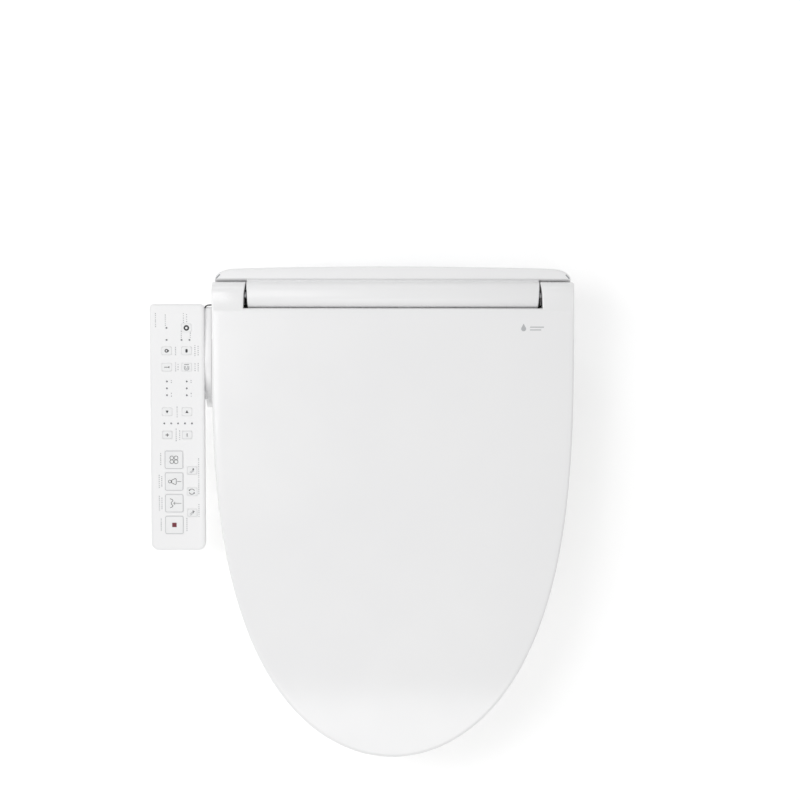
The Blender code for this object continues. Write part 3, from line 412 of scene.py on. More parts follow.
def settle(piece):
    """Turns a piece with its modifiers into a plain mesh."""
    graph = bpy.context.evaluated_depsgraph_get()
    mesh = bpy.data.meshes.new_from_object(piece.evaluated_get(graph))
    piece.modifiers.clear()
    piece.data = mesh
    return piece


def combine(target, other, operation):
    """Applies a Boolean to the target and removes the other object."""
    step = target.modifiers.new("combine", "BOOLEAN")
    step.operation, step.solver, step.object = operation, "EXACT", other
    settle(target)
    bpy.data.objects.remove(other)
    return target


def cut(target, *others):
    return [combine(target, other, "DIFFERENCE") for other in others][-1]


def join(target, *others):
    return [combine(target, other, "UNION") for other in others][-1]


def gather(name, pieces):
    """Several separate solids as one object, with no Boolean."""
    work = bmesh.new()
    for piece in pieces:
        work.from_mesh(piece.data)
        bpy.data.objects.remove(piece)
    mesh = bpy.data.meshes.new(name)
    work.to_mesh(mesh)
    work.free()
    return new_object(name, mesh)


made_pieces = []


def finish_piece(piece, body, material, stands_for=(), sharp=40.0):
    """Shades a piece, gives it its material, and hands it to the frame."""
    bpy.context.view_layer.update()
    piece.data.transform(piece.matrix_world)
    piece.matrix_world = Matrix.Identity(4)
    piece.data.materials.clear()
    piece.data.materials.append(material)
    piece.data.polygons.foreach_set("material_index", [0] * len(piece.data.polygons))
    piece.data.shade_smooth()
    piece.data.set_sharp_from_angle(angle=math.radians(sharp))
    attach(piece, body)
    if stands_for:
        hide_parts(*stands_for)
    made_pieces.append(piece)
    print(f"{piece.name}: {len(piece.data.polygons)} faces, rides on {body}")
    return piece


# %% [markdown]
# ## The lid, by rule
# Seen from above the lid is a squared ellipse: half its width is W * sqrt(1 - (y / L) ^ n). Its top
# falls towards the front tip by a power curve, and a small fillet turns the top into the skirt.
# A shape that a rule gives is a good job for Geometry Nodes: a flat grid is laid out, and Set
# Position moves each of its points to where the rule says. One half is made, then mirrored.
# The sums are listed as text, one value on each line, so that the rule can be read.

# %% Geometry Nodes helpers
def start_tree(name, sizes):
    """An empty Geometry Nodes tree with a named input for each size, and those inputs."""
    tree = bpy.data.node_groups.new(name, "GeometryNodeTree")
    tree.interface.new_socket("Geometry", in_out="INPUT", socket_type="NodeSocketGeometry")
    tree.interface.new_socket("Geometry", in_out="OUTPUT", socket_type="NodeSocketGeometry")
    kinds = {int: "NodeSocketInt", float: "NodeSocketFloat", bpy.types.Object: "NodeSocketObject"}
    for size, value in sizes.items():
        kind = next(kinds[k] for k in kinds if isinstance(value, k))
        tree.interface.new_socket(size, in_out="INPUT", socket_type=kind)
    return tree, add_node(tree, "NodeGroupInput").outputs


def add_sums(tree, known, table):
    """Adds Math nodes from lines of text: a result, an operation and its terms. Each further
    operation after a bar takes the result so far as its first term."""
    for line in table.strip().splitlines():
        if line.startswith("#"):
            continue
        result, sums = line.split(" ", 1)
        for number, part in enumerate(sums.split(" | ")):
            operation, *terms = part.split()
            terms = terms if number == 0 else [result] + terms
            inputs = {i: known[t] if t in known else float(t) for i, t in enumerate(terms)}
            known[result] = add_node(
                tree, "ShaderNodeMath", {"operation": operation}, inputs).outputs[0]


def end_tree(tree, geometry, material):
    real = add_node(tree, "GeometryNodeRealizeInstances", None, {"Geometry": geometry})
    coat = add_node(tree, "GeometryNodeSetMaterial", None, {
        "Geometry": real.outputs[0], "Material": material})
    add_node(tree, "NodeGroupOutput", None, {"Geometry": coat.outputs[0]})


def run_tree(name, tree, sizes, mesh=None):
    """Runs a tree on a mesh, sizes given by input name, and returns the result as a plain mesh."""
    made = new_object(name, mesh or bpy.data.meshes.new(name))
    rule = made.modifiers.new("rule", "NODES")
    rule.node_group = tree
    for item in tree.interface.items_tree:
        if item.in_out == "INPUT" and item.name in sizes:
            rule[item.identifier] = sizes[item.name]
    return settle(made)


def points_mesh(name, points):
    """A mesh of loose points in millimetres, for instances to stand on."""
    mesh = bpy.data.meshes.new(name)
    mesh.from_pydata([Vector(p) * MM for p in points], [], [])
    return mesh


# %% The lid's sizes and its rule in Python
HINGE_Y, HINGE_Z, HUB_R = 18.7, 84.0, 14.5
ARM_IN, ARM_OUT = 163.0, 196.0
LID_REAR, LID_LENGTH, LID_SQUARENESS = 3.9, 484.5, 3.1
LID_TOP, LID_WALL, LID_EDGE_R = HINGE_Z + HUB_R, 3.0, 3.3
LID_FALL, LID_FALL_POWER, LID_NOSE_DROP, LID_NOSE_SHARE = 27.0, 1.3, 8.0, 0.8
LID_CROWN = 1.2
SKIRT_REAR, SKIRT_DROP = 62.0, 15.0
LIP_BOTTOM, LIP_END = 91.0, 189.6  # between the arms the rear wall is only a short lip


def lid_half_width(y):
    share = min(1.0, max(0.0, -y) / LID_LENGTH)
    return ARM_OUT * math.sqrt(1 - share**LID_SQUARENESS)


def lid_share(y):
    """0 at the lid's rear edge, 1 at its front tip."""
    return min(1.0, max(0.0, (LID_REAR - y) / (LID_REAR + LID_LENGTH)))


def lid_top(y):
    share = lid_share(y)
    nose = max(0.0, (share - LID_NOSE_SHARE) / (1 - LID_NOSE_SHARE))
    return LID_TOP - LID_FALL * share**LID_FALL_POWER - LID_NOSE_DROP * nose**2


# %% The lid's rule as a node tree
lid_sizes = {
    "Half Width": ARM_OUT * MM, "Length": LID_LENGTH * MM, "Squareness": LID_SQUARENESS,
    "Rear": LID_REAR * MM, "Top": LID_TOP * MM, "Fall": LID_FALL * MM, "Crown": LID_CROWN * MM,
    "Nose Drop": LID_NOSE_DROP * MM, "Edge Radius": LID_EDGE_R * MM,
    "Skirt Bottom": SKIRT_REAR * MM, "Skirt Drop": SKIRT_DROP * MM,
    "Rows": 101, "Columns": 41,
}
tree, sizes_in = start_tree("squared_ellipse_lid", lid_sizes)
grid = add_node(tree, "GeometryNodeMeshGrid", None, {
    "Size X": 1.0, "Size Y": 1.0,
    "Vertices X": sizes_in["Rows"], "Vertices Y": sizes_in["Columns"]})
place = add_node(tree, "GeometryNodeInputPosition")
cell = add_node(tree, "ShaderNodeSeparateXYZ", None, {"Vector": place.outputs[0]})
known = {name.replace(" ", ""): sizes_in[name] for name in lid_sizes}
known["gx"], known["gy"] = cell.outputs["X"], cell.outputs["Y"]
QUARTER = math.pi / 2
# Shares of the grid: the rear wall ends at 0.04 of it and the rear fillet at 0.1, the skirt at
# 0.1 of its width and the side fillet at 0.25.
known |= {
    "QUARTER": QUARTER, "REAR_RATE": QUARTER / 0.06, "REAR_START": -0.04 * QUARTER / 0.06,
    "BODY_RATE": 1 / 0.9, "BODY_START": -0.1 / 0.9,
    "SIDE_RATE": QUARTER / 0.15, "SIDE_START": -0.10 * QUARTER / 0.15,
    "INWARD_RATE": 1 / 0.75, "INWARD_START": -0.25 / 0.75,
    "FALL_POWER": LID_FALL_POWER, "NOSE_SHARE": LID_NOSE_SHARE, "NOSE_REST": 1 - LID_NOSE_SHARE,
}
add_sums(tree, known, """
# along runs 0 to 1 from the rear wall's foot to the tip: wall, rear fillet, then the body
along ADD gx 0.5
wall MULTIPLY along 25.0 | MINIMUM 1.0
rear_turn MULTIPLY_ADD along REAR_RATE REAR_START | MAXIMUM 0.0 | MINIMUM QUARTER
body MULTIPLY_ADD along BODY_RATE BODY_START | MAXIMUM 0.0
# across runs 0 to 1 from the skirt's foot to the middle line: skirt, fillet, then the top
across ADD gy 0.5
skirt MULTIPLY across 10.0 | MINIMUM 1.0
side_turn MULTIPLY_ADD across SIDE_RATE SIDE_START | MAXIMUM 0.0 | MINIMUM QUARTER
inward MULTIPLY_ADD across INWARD_RATE INWARD_START | MAXIMUM 0.0
# share of the lid's length, with rows closer together towards the tip
half MULTIPLY body body
share MULTIPLY_ADD body 2.0 0.0 | SUBTRACT half
rear_cos COSINE rear_turn
rear_in MULTIPLY_ADD rear_cos -1.0 1.0 | MULTIPLY EdgeRadius
span ADD Length Rear | SUBTRACT EdgeRadius
y MULTIPLY share span | ADD rear_in
y SUBTRACT Rear y
# the squared ellipse and the direction square to it
reach MULTIPLY y -1.0 | MAXIMUM 0.0 | DIVIDE Length | MINIMUM 1.0
curve POWER reach Squareness
inside SUBTRACT 1.0 curve | MAXIMUM 0.0
root SQRT inside
width MULTIPLY root HalfWidth
slope_x DIVIDE root HalfWidth | MULTIPLY 2.0
less SUBTRACT Squareness 1.0
slope_y POWER reach less | MULTIPLY Squareness | DIVIDE Length
steep MULTIPLY slope_x slope_x
steep MULTIPLY_ADD slope_y slope_y steep | SQRT
out_x DIVIDE slope_x steep
out_y DIVIDE slope_y steep
# how far in from the outline: a little draft on the skirt, then round the fillet
side_cos COSINE side_turn
in MULTIPLY_ADD side_cos -1.0 1.0 | MULTIPLY EdgeRadius
draft MINIMUM skirt wall | MULTIPLY_ADD -0.0006 0.0006
in ADD in draft
edge_x MULTIPLY in out_x
edge_x SUBTRACT width edge_x | MAXIMUM 0.0
edge_y MULTIPLY_ADD in out_y y
keep SUBTRACT 1.0 inward
x MULTIPLY edge_x keep
# height of the top, from the fall to the front and the crown across
at SUBTRACT Rear edge_y
full ADD Length Rear
at DIVIDE at full | MAXIMUM 0.0
fall POWER at FALL_POWER | MULTIPLY Fall
nose SUBTRACT at NOSE_SHARE | DIVIDE NOSE_REST | MAXIMUM 0.0
nose MULTIPLY nose nose | MULTIPLY NoseDrop
top SUBTRACT Top fall | SUBTRACT nose
wide DIVIDE x HalfWidth
wide MULTIPLY wide wide
crown SUBTRACT 1.0 wide | MULTIPLY Crown
ease MULTIPLY at 12.0 | MINIMUM 1.0
crown MULTIPLY crown ease
top ADD top crown
# the rim's height at the side and at the rear, and the lower of the two
below SUBTRACT top EdgeRadius
foot MULTIPLY at SkirtDrop
foot SUBTRACT SkirtBottom foot
up SUBTRACT below foot
side_z MULTIPLY_ADD up skirt foot
side_sin SINE side_turn
side_z MULTIPLY_ADD side_sin EdgeRadius side_z
rear_z MULTIPLY_ADD up wall foot
rear_sin SINE rear_turn
rear_z MULTIPLY_ADD rear_sin EdgeRadius rear_z
z MINIMUM side_z rear_z
# the grid's own corner, where side wall and rear wall would fold over each other
in_wall LESS_THAN along 0.04
in_skirt LESS_THAN across 0.10
fold MULTIPLY in_wall in_skirt
""")
unfolded = add_node(tree, "GeometryNodeDeleteGeometry", {"domain": "FACE"}, {
    "Geometry": grid.outputs["Mesh"], "Selection": known["fold"]})
moved = add_node(tree, "ShaderNodeCombineXYZ", None, {
    "X": known["x"], "Y": known["edge_y"], "Z": known["z"]})
half_lid = add_node(tree, "GeometryNodeSetPosition", None, {
    "Geometry": unfolded.outputs[0], "Position": moved.outputs[0]})
mirrored = add_node(tree, "GeometryNodeTransform", None, {
    "Geometry": half_lid.outputs[0], "Scale": (-1.0, 1.0, 1.0)})
turned_over = add_node(tree, "GeometryNodeFlipFaces", None, {"Mesh": half_lid.outputs[0]})
both = add_node(tree, "GeometryNodeJoinGeometry")
for part in (turned_over, mirrored):
    tree.links.new(part.outputs[0], both.inputs[0])
sewn = add_node(tree, "GeometryNodeMergeByDistance", None, {
    "Geometry": both.outputs[0], "Distance": 0.00003})
end_tree(tree, sewn.outputs[0], lid_abs)
lid = run_tree("lid_moulding", tree, lid_sizes)
print("lid surface:", len(lid.data.vertices), "points,", len(tree.nodes), "nodes in its rule")

# %% The same rule, one wall smaller, gives the inside
inner_sizes = dict(lid_sizes)
for size in ("Half Width", "Length", "Rear", "Top", "Edge Radius"):
    inner_sizes[size] -= LID_WALL * MM
inside = run_tree("lid_inside", tree, inner_sizes)
work = bmesh.new()
work.from_mesh(inside.data)
bmesh.ops.reverse_faces(work, faces=work.faces)
work.from_mesh(lid.data)
rims = [edge for edge in work.edges if edge.is_boundary]
bmesh.ops.bridge_loops(work, edges=rims)
bmesh.ops.recalc_face_normals(work, faces=work.faces)
work.to_mesh(lid.data)
open_edges = sum(edge.is_boundary for edge in work.edges)
work.free()
bpy.data.objects.remove(inside)
print("lid shell:", len(lid.data.polygons), "faces,", open_edges, "open edges")

# %% [markdown]
# ## The lid's wall and arms
# At the back two hollow arms reach round the hinge line. Each arm is an outline pushed along X
# with its ends rounded, and its inner face leans, so that the slot beside the hinge barrel
# narrows backwards. A squared arc gives the arm the flat top and tight rear corner of the lid.

# %% Wall, arms and hinge holes
HUB = (HINGE_Y, HINGE_Z)
ARM_FRONT, ARM_SINK, ARM_EDGE = -30.0, 0.4, 1.4
SLOT_LEAN = 3.6  # how far the arm's inner face comes inwards from its front to its rear
SHAFT_HOLE_R = 4.6


def lean_face(piece, side, edge, lean):
    """Moves the end face at |x| below edge inwards, more towards the rear."""
    for point in piece.data.vertices:
        x, y = point.co.x / MM, point.co.y / MM
        if abs(x) < edge:
            share = min(1.0, max(0.0, (y - 4.0) / 29.0))
            point.co.x -= side * lean * share * MM
    return piece


def lid_arm(side):
    top = lid_top(ARM_FRONT)
    face = ARM_OUT - 0.1
    behind = ARM_FRONT - 1.0
    hood = squared_arc(HUB, HUB_R, 2.4, 90, -90, 40)
    hood += [(1.0, SKIRT_REAR), (ARM_FRONT, SKIRT_REAR - 1.0), (ARM_FRONT, top - ARM_SINK)]
    under = squared_arc(HUB, HUB_R - LID_WALL, 2.4, 90, -35, 30)
    under += [(HINGE_Y + 20.0, HINGE_Z - 14.0), (HINGE_Y + 20.0, 40.0), (behind, 40.0)]
    under += [(behind, top - ARM_SINK - LID_WALL)]
    below = squared_arc(HUB, HUB_R, 2.4, -150, -92, 16)
    below += [(HINGE_Y, 40.0), (behind, 40.0), (behind, top - 9.0)]

    def span(a, b):
        return sorted((side * a, side * b))

    arm = prism_x("arm", hood, *span(ARM_IN, face), ARM_EDGE, 4)
    lean_face(arm, side, ARM_IN + 1.6, SLOT_LEAN)
    cut(arm, prism_x("under", under, *span(ARM_IN + LID_WALL, face - LID_WALL)))
    return cut(arm, prism_x("below", below, *span(ARM_IN - 9.0, ARM_IN + LID_WALL + 0.1)))


cut(lid, box("under_lip", (-LIP_END, -2.0, 40.0), (LIP_END, 6.0, LIP_BOTTOM)))
for side in (-1, 1):
    join(lid, lid_arm(side))
    hole_from = side * (ARM_IN - 8.0)
    cut(lid, rod("hole", (hole_from, *HUB), (side, 0, 0), 13.0, SHAFT_HOLE_R))
finish_piece(lid, "lid", lid_abs, ["lid"], sharp=32.0)

# %% [markdown]
# ## Printed marks and painted shade lines
# Legends and the small emblem are printed ink on the surface, and the grey lines round the keys are
# painted shade of the gaps round them. Each is a thin closed solid, so that it is a shape of its
# own in the exported model too: filled outlines for solid signs, and ribbons of one width for drawn
# lines. A height function lets a mark follow a curved surface.

# %% Marks as thin solids
def ribbon(path, width, closed):
    """The left and right edges of a line of this width along a path."""
    count, left, right = len(path), [], []
    for i, point in enumerate(path):
        here = Vector(point)
        last = Vector(path[i - 1]) if closed or i > 0 else None
        after = Vector(path[(i + 1) % count]) if closed or i < count - 1 else None
        a = (here - last).normalized() if last is not None else (after - here).normalized()
        b = (after - here).normalized() if after is not None else a
        lean = Vector((-a.y - b.y, a.x + b.x)) / max(0.5, 1 + a.dot(b))
        left.append(here + lean * width / 2)
        right.append(here - lean * width / 2)
    return left, right


def marks(name, fills, lines, top, lift, sink):
    """fills are convex outlines, and lines are (path, width, closed)."""
    points, faces = [], []
    for outline in fills:
        first, count = len(points), len(outline)
        for offset in (lift, -sink):
            points += [(x, y, top(x, y) + offset) for x, y in outline]
        faces += [tuple(range(start, start + count)) for start in (first, first + count)]
        faces += ring_faces(count, first, first + count)
    for path, width, closed in lines:
        left, right = ribbon(path, width, closed)
        first, count = len(points), len(left)
        for edge in (left, right):
            for offset in (lift, -sink):
                points += [(x, y, top(x, y) + offset) for x, y in edge]
        for k in range(count if closed else count - 1):
            after = (k + 1) % count
            for p, q in ((0, 2), (3, 1), (1, 0), (2, 3)):
                a, b = first + p * count, first + q * count
                faces.append((a + k, a + after, b + after, b + k))
        if not closed:
            for end in (0, count - 1):
                faces.append(tuple(first + row * count + end for row in (0, 1, 3, 2)))
    return add_mesh(name, points, faces)


def circle(centre, radius, steps=24):
    return arc(centre, radius, 0, 360 - 360 / steps, steps - 1)


def drop(centre, radius, turn, steps=18):
    """A water drop whose tip points along turn, in degrees."""
    c, s = math.cos(math.radians(turn)), math.sin(math.radians(turn))
    shape = arc((0.0, 0.0), radius, 50, 310, steps) + [(2.1 * radius, 0.0)]
    return [(centre[0] + x * c - y * s, centre[1] + x * s + y * c) for x, y in shape]


def lid_surface(x, y):
    ease = min(1.0, 12.0 * lid_share(y))
    return lid_top(y) + LID_CROWN * (1 - (x / ARM_OUT) ** 2) * ease


emblem = marks(
    "lid_emblem",
    [drop((141.0, -18.4), 2.7, 90)],
    [([(148.0, -19.6), (152.0, -19.6), (156.0, -19.6), (160.0, -19.6)], 1.1, False),
     ([(148.0, -16.6), (153.0, -16.6), (158.0, -16.6), (163.0, -16.6)], 1.1, False)],
    lid_surface, 0.05, 0.4)
finish_piece(emblem, "lid", grey_ink)

# %% [markdown]
# ## The seat ring
# The heated ring is moulded in two halves that meet on a seam: a top with a soft crowned section
# and a base like a gutter. Each is a section swept round the opening. The outer edge follows the
# lid's outline a little inside it, and the inner edge is a squared ellipse of its own.

# %% Seat ring sections
SEAT_REAR, SEAT_CENTRE, SEAT_BOTTOM, SEAT_INSET, SEAT_SPLIT = -88.5, -290.0, 12.0, 6.5, 19.7
SEAT_ARM_IN, SEAT_ARM_OUT, SEAT_HUB_R = 168.0, 190.0, 10.5
HOLE_HALF_WIDTH, HOLE_HALF_LENGTH, HOLE_POWER = 108.0, 138.0, 2.4
GAP = 0.35


def seat_top_z(y):
    rise = max(0.0, (y + 175.0) / 86.5)
    return 44.0 + 6.0 * min(1.0, (y + 480.0) / 300.0) + 15.0 * rise**1.6


def cross_distance(centre, direction, outline):
    """How far a ray from the centre runs to an outline."""
    best = 0.0
    for a, b in zip(outline, outline[1:] + outline[:1]):
        edge, start = Vector(b) - Vector(a), Vector(a) - Vector(centre)
        across = direction.cross(edge)
        if abs(across) < 1e-9:
            continue
        along, share = start.cross(edge) / across, start.cross(direction) / across
        if along > 0 and -1e-9 <= share <= 1 + 1e-9:
            best = max(best, along)
    return best


def seat_edges(steps):
    """Matching points on the ring's outer and inner edge, seen from the middle of its opening."""
    full = LID_REAR + LID_LENGTH
    fine = [LID_REAR - full * (1 - (1 - k / 90) ** 2) for k in range(91)]
    half = [(lid_half_width(y), y) for y in fine[:-1]]
    outline = [(-x, y) for x, y in half] + [(0.0, -LID_LENGTH)] + half[::-1]
    outer = [(x, min(y, SEAT_REAR)) for x, y in inset(outline, SEAT_INSET)]
    centre, edges = (0.0, SEAT_CENTRE), []
    for k in range(steps):
        a = 2 * math.pi * (k + 0.5) / steps
        direction = Vector((math.cos(a), math.sin(a)))
        reach = cross_distance(centre, direction, outer)
        bend = abs(direction.x / HOLE_HALF_WIDTH) ** HOLE_POWER
        bend += abs(direction.y / HOLE_HALF_LENGTH) ** HOLE_POWER
        hole = bend ** (-1 / HOLE_POWER)
        edges.append((Vector(centre) + direction * reach, Vector(centre) + direction * hole))
    return edges


EDGES = seat_edges(192)


def seat_ring(name, profile, rounding, steps):
    """Sweeps a profile round the ring. Each point is (edge, distance in from it, height): the
    height is from the ring's top where it is negative or zero, else from the deck."""
    sections = []
    for outer, inner in EDGES:
        inward = (inner - outer).normalized()
        width = (inner - outer).length
        shape = []
        for edge, distance, height in profile:
            along = distance if edge == "outer" else width - distance
            top = seat_top_z((outer + inward * along).y)
            shape.append((along, height if height > 0 else top + height))
        section = []
        for along, z in soft_corners(shape, rounding, steps):
            place = outer + inward * along
            section.append((place.x, place.y, z))
        sections.append(section)
    return loop_round(name, sections)


print("ring sections:", len(EDGES))

# %% Seat top and its arms
SKIN = 2.5
SEAM = SEAT_SPLIT + GAP
top_profile = [
    ("outer", 0.0, SEAM, 0.5), ("outer", 0.0, -9.0, 7.0), ("outer", 2.6, -2.6, 3.0),
    ("outer", 9.0, 0.0, 9.0), ("inner", 16.0, -0.6, 12.0), ("inner", 5.0, -4.0, 5.0),
    ("inner", 0.0, -11.0, 7.0), ("inner", 0.0, SEAM, 0.5), ("inner", SKIN, SEAM, 0.3),
    ("inner", SKIN, -12.0, 3.0), ("inner", 16.0, -0.6 - SKIN, 6.0), ("outer", 9.0, -SKIN, 6.0),
    ("outer", SKIN, -9.0, 3.0), ("outer", SKIN, SEAM, 0.3),
]
seat_top = seat_ring("seat_ring_top", [p[:3] for p in top_profile], [p[3] for p in top_profile], 4)


def seat_arm(side):
    """From the hinge hub forward over the housing's wing and into the ring's rear."""
    shape = arc(HUB, SEAT_HUB_R, 75, -150, 30)
    shape += [(5.6, 76.6), (-30.0, 60.0), (-84.0, 52.5), (-102.0, 42.0)]
    shape += [(-102.0, 54.0), (-84.0, 66.0), (-30.0, 84.0)]
    ends = sorted((side * SEAT_ARM_IN, side * (SEAT_ARM_OUT - 0.7)))
    return prism_x("arm", shape, *ends, 1.6, 3)


for side in (-1, 1):
    join(seat_top, seat_arm(side))
    hub_from = side * (SEAT_ARM_IN - 2.0)
    cut(seat_top, rod("hole", (hub_from, *HUB), (side, 0, 0), 26.0, SHAFT_HOLE_R))
finish_piece(seat_top, "seat", seat_pp, ["seat_top"], sharp=38.0)

# %% Seat base, like a gutter under the top
base_profile = [
    ("outer", 0.0, SEAT_SPLIT, 0.4), ("outer", 0.0, 14.5, 2.0), ("outer", 3.0, SEAT_BOTTOM, 2.0),
    ("inner", 3.0, SEAT_BOTTOM, 2.0), ("inner", 0.0, 14.5, 2.0), ("inner", 0.0, SEAT_SPLIT, 0.4),
    ("inner", 2.5, SEAT_SPLIT, 0.3), ("inner", 4.5, 14.8, 1.5), ("outer", 4.5, 14.8, 1.5),
    ("outer", 2.5, SEAT_SPLIT, 0.3),
]
seat_base = seat_ring(
    "seat_ring_base", [p[:3] for p in base_profile], [p[3] for p in base_profile], 3)
finish_piece(seat_base, "seat", seat_pp, ["seat_base"], sharp=38.0)

# %% [markdown]
# ## Rubber bumpers, shafts and bolts
# Small turned pieces: a profile of (distance along, radius) pairs spun about one axis. The four
# bumpers under the ring rest on the bowl, and the two under the lid rest on the ring.

# %% Turned pieces
for word, (x, y) in {
    "front_left": (-88.0, -425.0), "front_right": (88.0, -425.0),
    "rear_left": (-136.0, -215.0), "rear_right": (136.0, -215.0),
}.items():
    profile = [(0, 6.0), (0.3, 7.6), (1.2, 8.6), (2.2, 9.0), (7.5, 9.2), (8.0, 10.2), (8.6, 11.0),
               (SEAT_BOTTOM - GAP, 11.0)]
    bumper = turned(f"ring_bumper_{word}", profile, (x, y, 0.0), (0, 0, 1))
    finish_piece(bumper, "seat", grey_rubber, [f"seat_bumper_{word}"])
for side, word in ((-1, "left"), (1, "right")):
    x, y = side * 105.0, -392.0
    top = lid_top(y - 8.0) - LID_WALL - GAP
    drop_by = top - seat_top_z(y) - GAP
    profile = [(0, 8.0), (4.6, 8.0), (5.4, 7.4), (drop_by - 3.0, 5.6), (drop_by - 1.2, 5.2),
               (drop_by - 0.3, 4.4), (drop_by, 3.2)]
    bumper = turned(f"lid_stop_{word}", profile, (x, y, top), (0, 0, -1))
    finish_piece(bumper, "lid", grey_rubber, [f"lid_bumper_{word}"])
BOLT_X, BOLT_HEAD, BOLT_END, WASHER_LOW = 70.0, 3.55, -58.0, -30.0
for side, word in ((-1, "left"), (1, "right")):
    x = side * BOLT_X
    reach = BOLT_HEAD + 4.0 - BOLT_END
    profile = [(0, 7.2), (0.6, 8.4), (3.4, 9.0), (4.0, 9.0), (4.0, 4.0)]
    for k in range(24):  # rolled thread on the lower part, one ridge each millimetre
        profile += [(reach - 26.0 + k, 3.95), (reach - 25.5 + k, 3.55)]
    profile += [(reach - 1.0, 3.9), (reach, 3.0)]
    bolt = turned(f"fixing_bolt_{word}", profile, (x, 0.0, BOLT_HEAD + 4.0), (0, 0, -1), 32)
    finish_piece(bolt, "housing", steel, [f"mounting_bolt_{word}"])
    profile = [(0, 12.4), (0.6, 13.0), (4.0, 13.0), (9.4, 7.4), (10.0, 6.8)]
    cone = turned(f"bowl_cone_{word}", profile, (x, 0.0, WASHER_LOW), (0, 0, 1))
    cut(cone, rod("hole", (x, 0.0, WASHER_LOW - 5), (0, 0, 1), 25.0, 4.5))
    finish_piece(cone, "housing", grey_rubber, [f"bolt_washer_{word}"])
    low, high = -44.0, WASHER_LOW - GAP
    tall = high - low
    profile = [(0, 7.7), (0.8, 8.5), (tall - 3.0, 8.5), (tall - 0.8, 12.0), (tall, 12.0)]
    nut = turned(f"plastic_wing_nut_{word}", profile, (x, 0.0, low), (0, 0, 1))
    join(nut, prism_z("wings", rounded(44.0, 4.0, 1.8, (x, 0.0)), low + 1.0, high - 1.2, 0.8))
    cut(nut, rod("hole", (x, 0.0, low - 5), (0, 0, 1), 30.0, 4.5))
    finish_piece(nut, "housing", grey_nylon, [f"wing_nut_{word}"])
print("turned pieces:", len(made_pieces))

# %% [markdown]
# ## The rear housing
# The housing's top case is one moulding: a cover that slopes down to the front, the hinge barrel
# along its middle, and a ridge behind. From above, the ridge's rear edge bows back a little and
# its corners fall away in long curves. The ridge is lofted through sections along X, so that each
# section can end where the curve says; the barrel's ends lean with the arms beside them.

# %% Hinge barrel and cover
BARREL_HALF = 157.0
BODY_HALF, BODY_FRONT, BODY_BACK = 190.0, -85.5, 47.0
TRAY_BACK, FLOOR_BOTTOM = 38.0, 9.0
CASE_BOTTOM, WING_TOP, WALL = 47.7, 50.5, 2.8
RIDGE_FRONT, RIDGE_TOP, RIDGE_HALF, RIDGE_BOW = 34.0, 88.0, 193.0, 3.0
SHELF_R = 15.6
RIDGE_CORNER = (21.0, 10.5)  # how far the rear corners reach along X and along Y

cover_shape = [(BODY_FRONT, CASE_BOTTOM)]
cover_shape += arc((BODY_FRONT + 6, 73.5), 6.0, 180, 100, 8)
cover_shape += squared_arc(HUB, HUB_R, 2.3, 168, 92, 30)
cover_shape += squared_arc(HUB, HUB_R, 2.9, 90, 12, 30)
cover_shape += [(RIDGE_FRONT + 1.0, 86.2), (RIDGE_FRONT + 4.0, 86.2), (BODY_BACK - 4.6, 84.0)]
cover_shape += [(BODY_BACK - 4.6, CASE_BOTTOM)]
cover_shape = cover_shape[::-1]
top_case = prism_x("housing_top", cover_shape, -BARREL_HALF, BARREL_HALF, 0.9, 3)
for side in (-1, 1):
    for point in top_case.data.vertices:
        x, y, z = point.co / MM
        if side * x > BARREL_HALF - 1.2 and z > 60.0:
            share = min(1.0, max(0.0, (y - 4.0) / 29.0))
            point.co.x += side * 1.6 * share * MM
top_case.modifiers.new("facets", "TRIANGULATE")  # the leaning ends are no longer flat
settle(top_case)


def ridge_rear(x):
    """Y of the ridge's rear edge: bowed along its middle, rounded down at the corners."""
    bow = BODY_BACK + RIDGE_BOW * (1 - (x / RIDGE_HALF) ** 2)
    past = (abs(x) - (RIDGE_HALF - RIDGE_CORNER[0])) / RIDGE_CORNER[0]
    if past <= 0:
        return bow
    return bow - RIDGE_CORNER[1] * (1 - math.sqrt(max(0.0, 1 - past * past)))


def ridge_section(x):
    rear = ridge_rear(x)
    shape = [
        (26.4, CASE_BOTTOM), (rear, CASE_BOTTOM), (rear, RIDGE_TOP), (36.6, RIDGE_TOP + 0.3),
        (36.2, RIDGE_TOP - 0.5), (35.6, RIDGE_TOP - 1.2), (RIDGE_FRONT, RIDGE_TOP - 6.0),
    ]
    shape = soft_corners(shape, (0, 1.0, 3.2, 0.5, 0.3, 0.8, 0.5), 5)
    shape += [(y, z) for y, z in arc(HUB, SHELF_R, -9, -60, 8)]  # a shelf follows the lid's arms
    return [(x, y, z) for y, z in shape]


along = [k / 40 for k in range(41)]
half_ridge = [RIDGE_HALF * math.sin(math.pi / 2 * t) for t in along]
stations = [-x for x in reversed(half_ridge[1:])] + half_ridge
ridge = stack("ridge", [ridge_section(x) for x in stations])
wing_back = BODY_BACK - 5.7
wing_middle = (0.0, (wing_back + BODY_FRONT) / 2)
wing_plan = rounded(2 * BODY_HALF, wing_back - BODY_FRONT, 8.0, wing_middle)
wing = prism_z("wing", wing_plan, CASE_BOTTOM, WING_TOP, 0.8)
join(top_case, ridge, wing)
print("ridge rear edge, mm:", [round(ridge_rear(x), 1) for x in (0.0, RIDGE_HALF)])

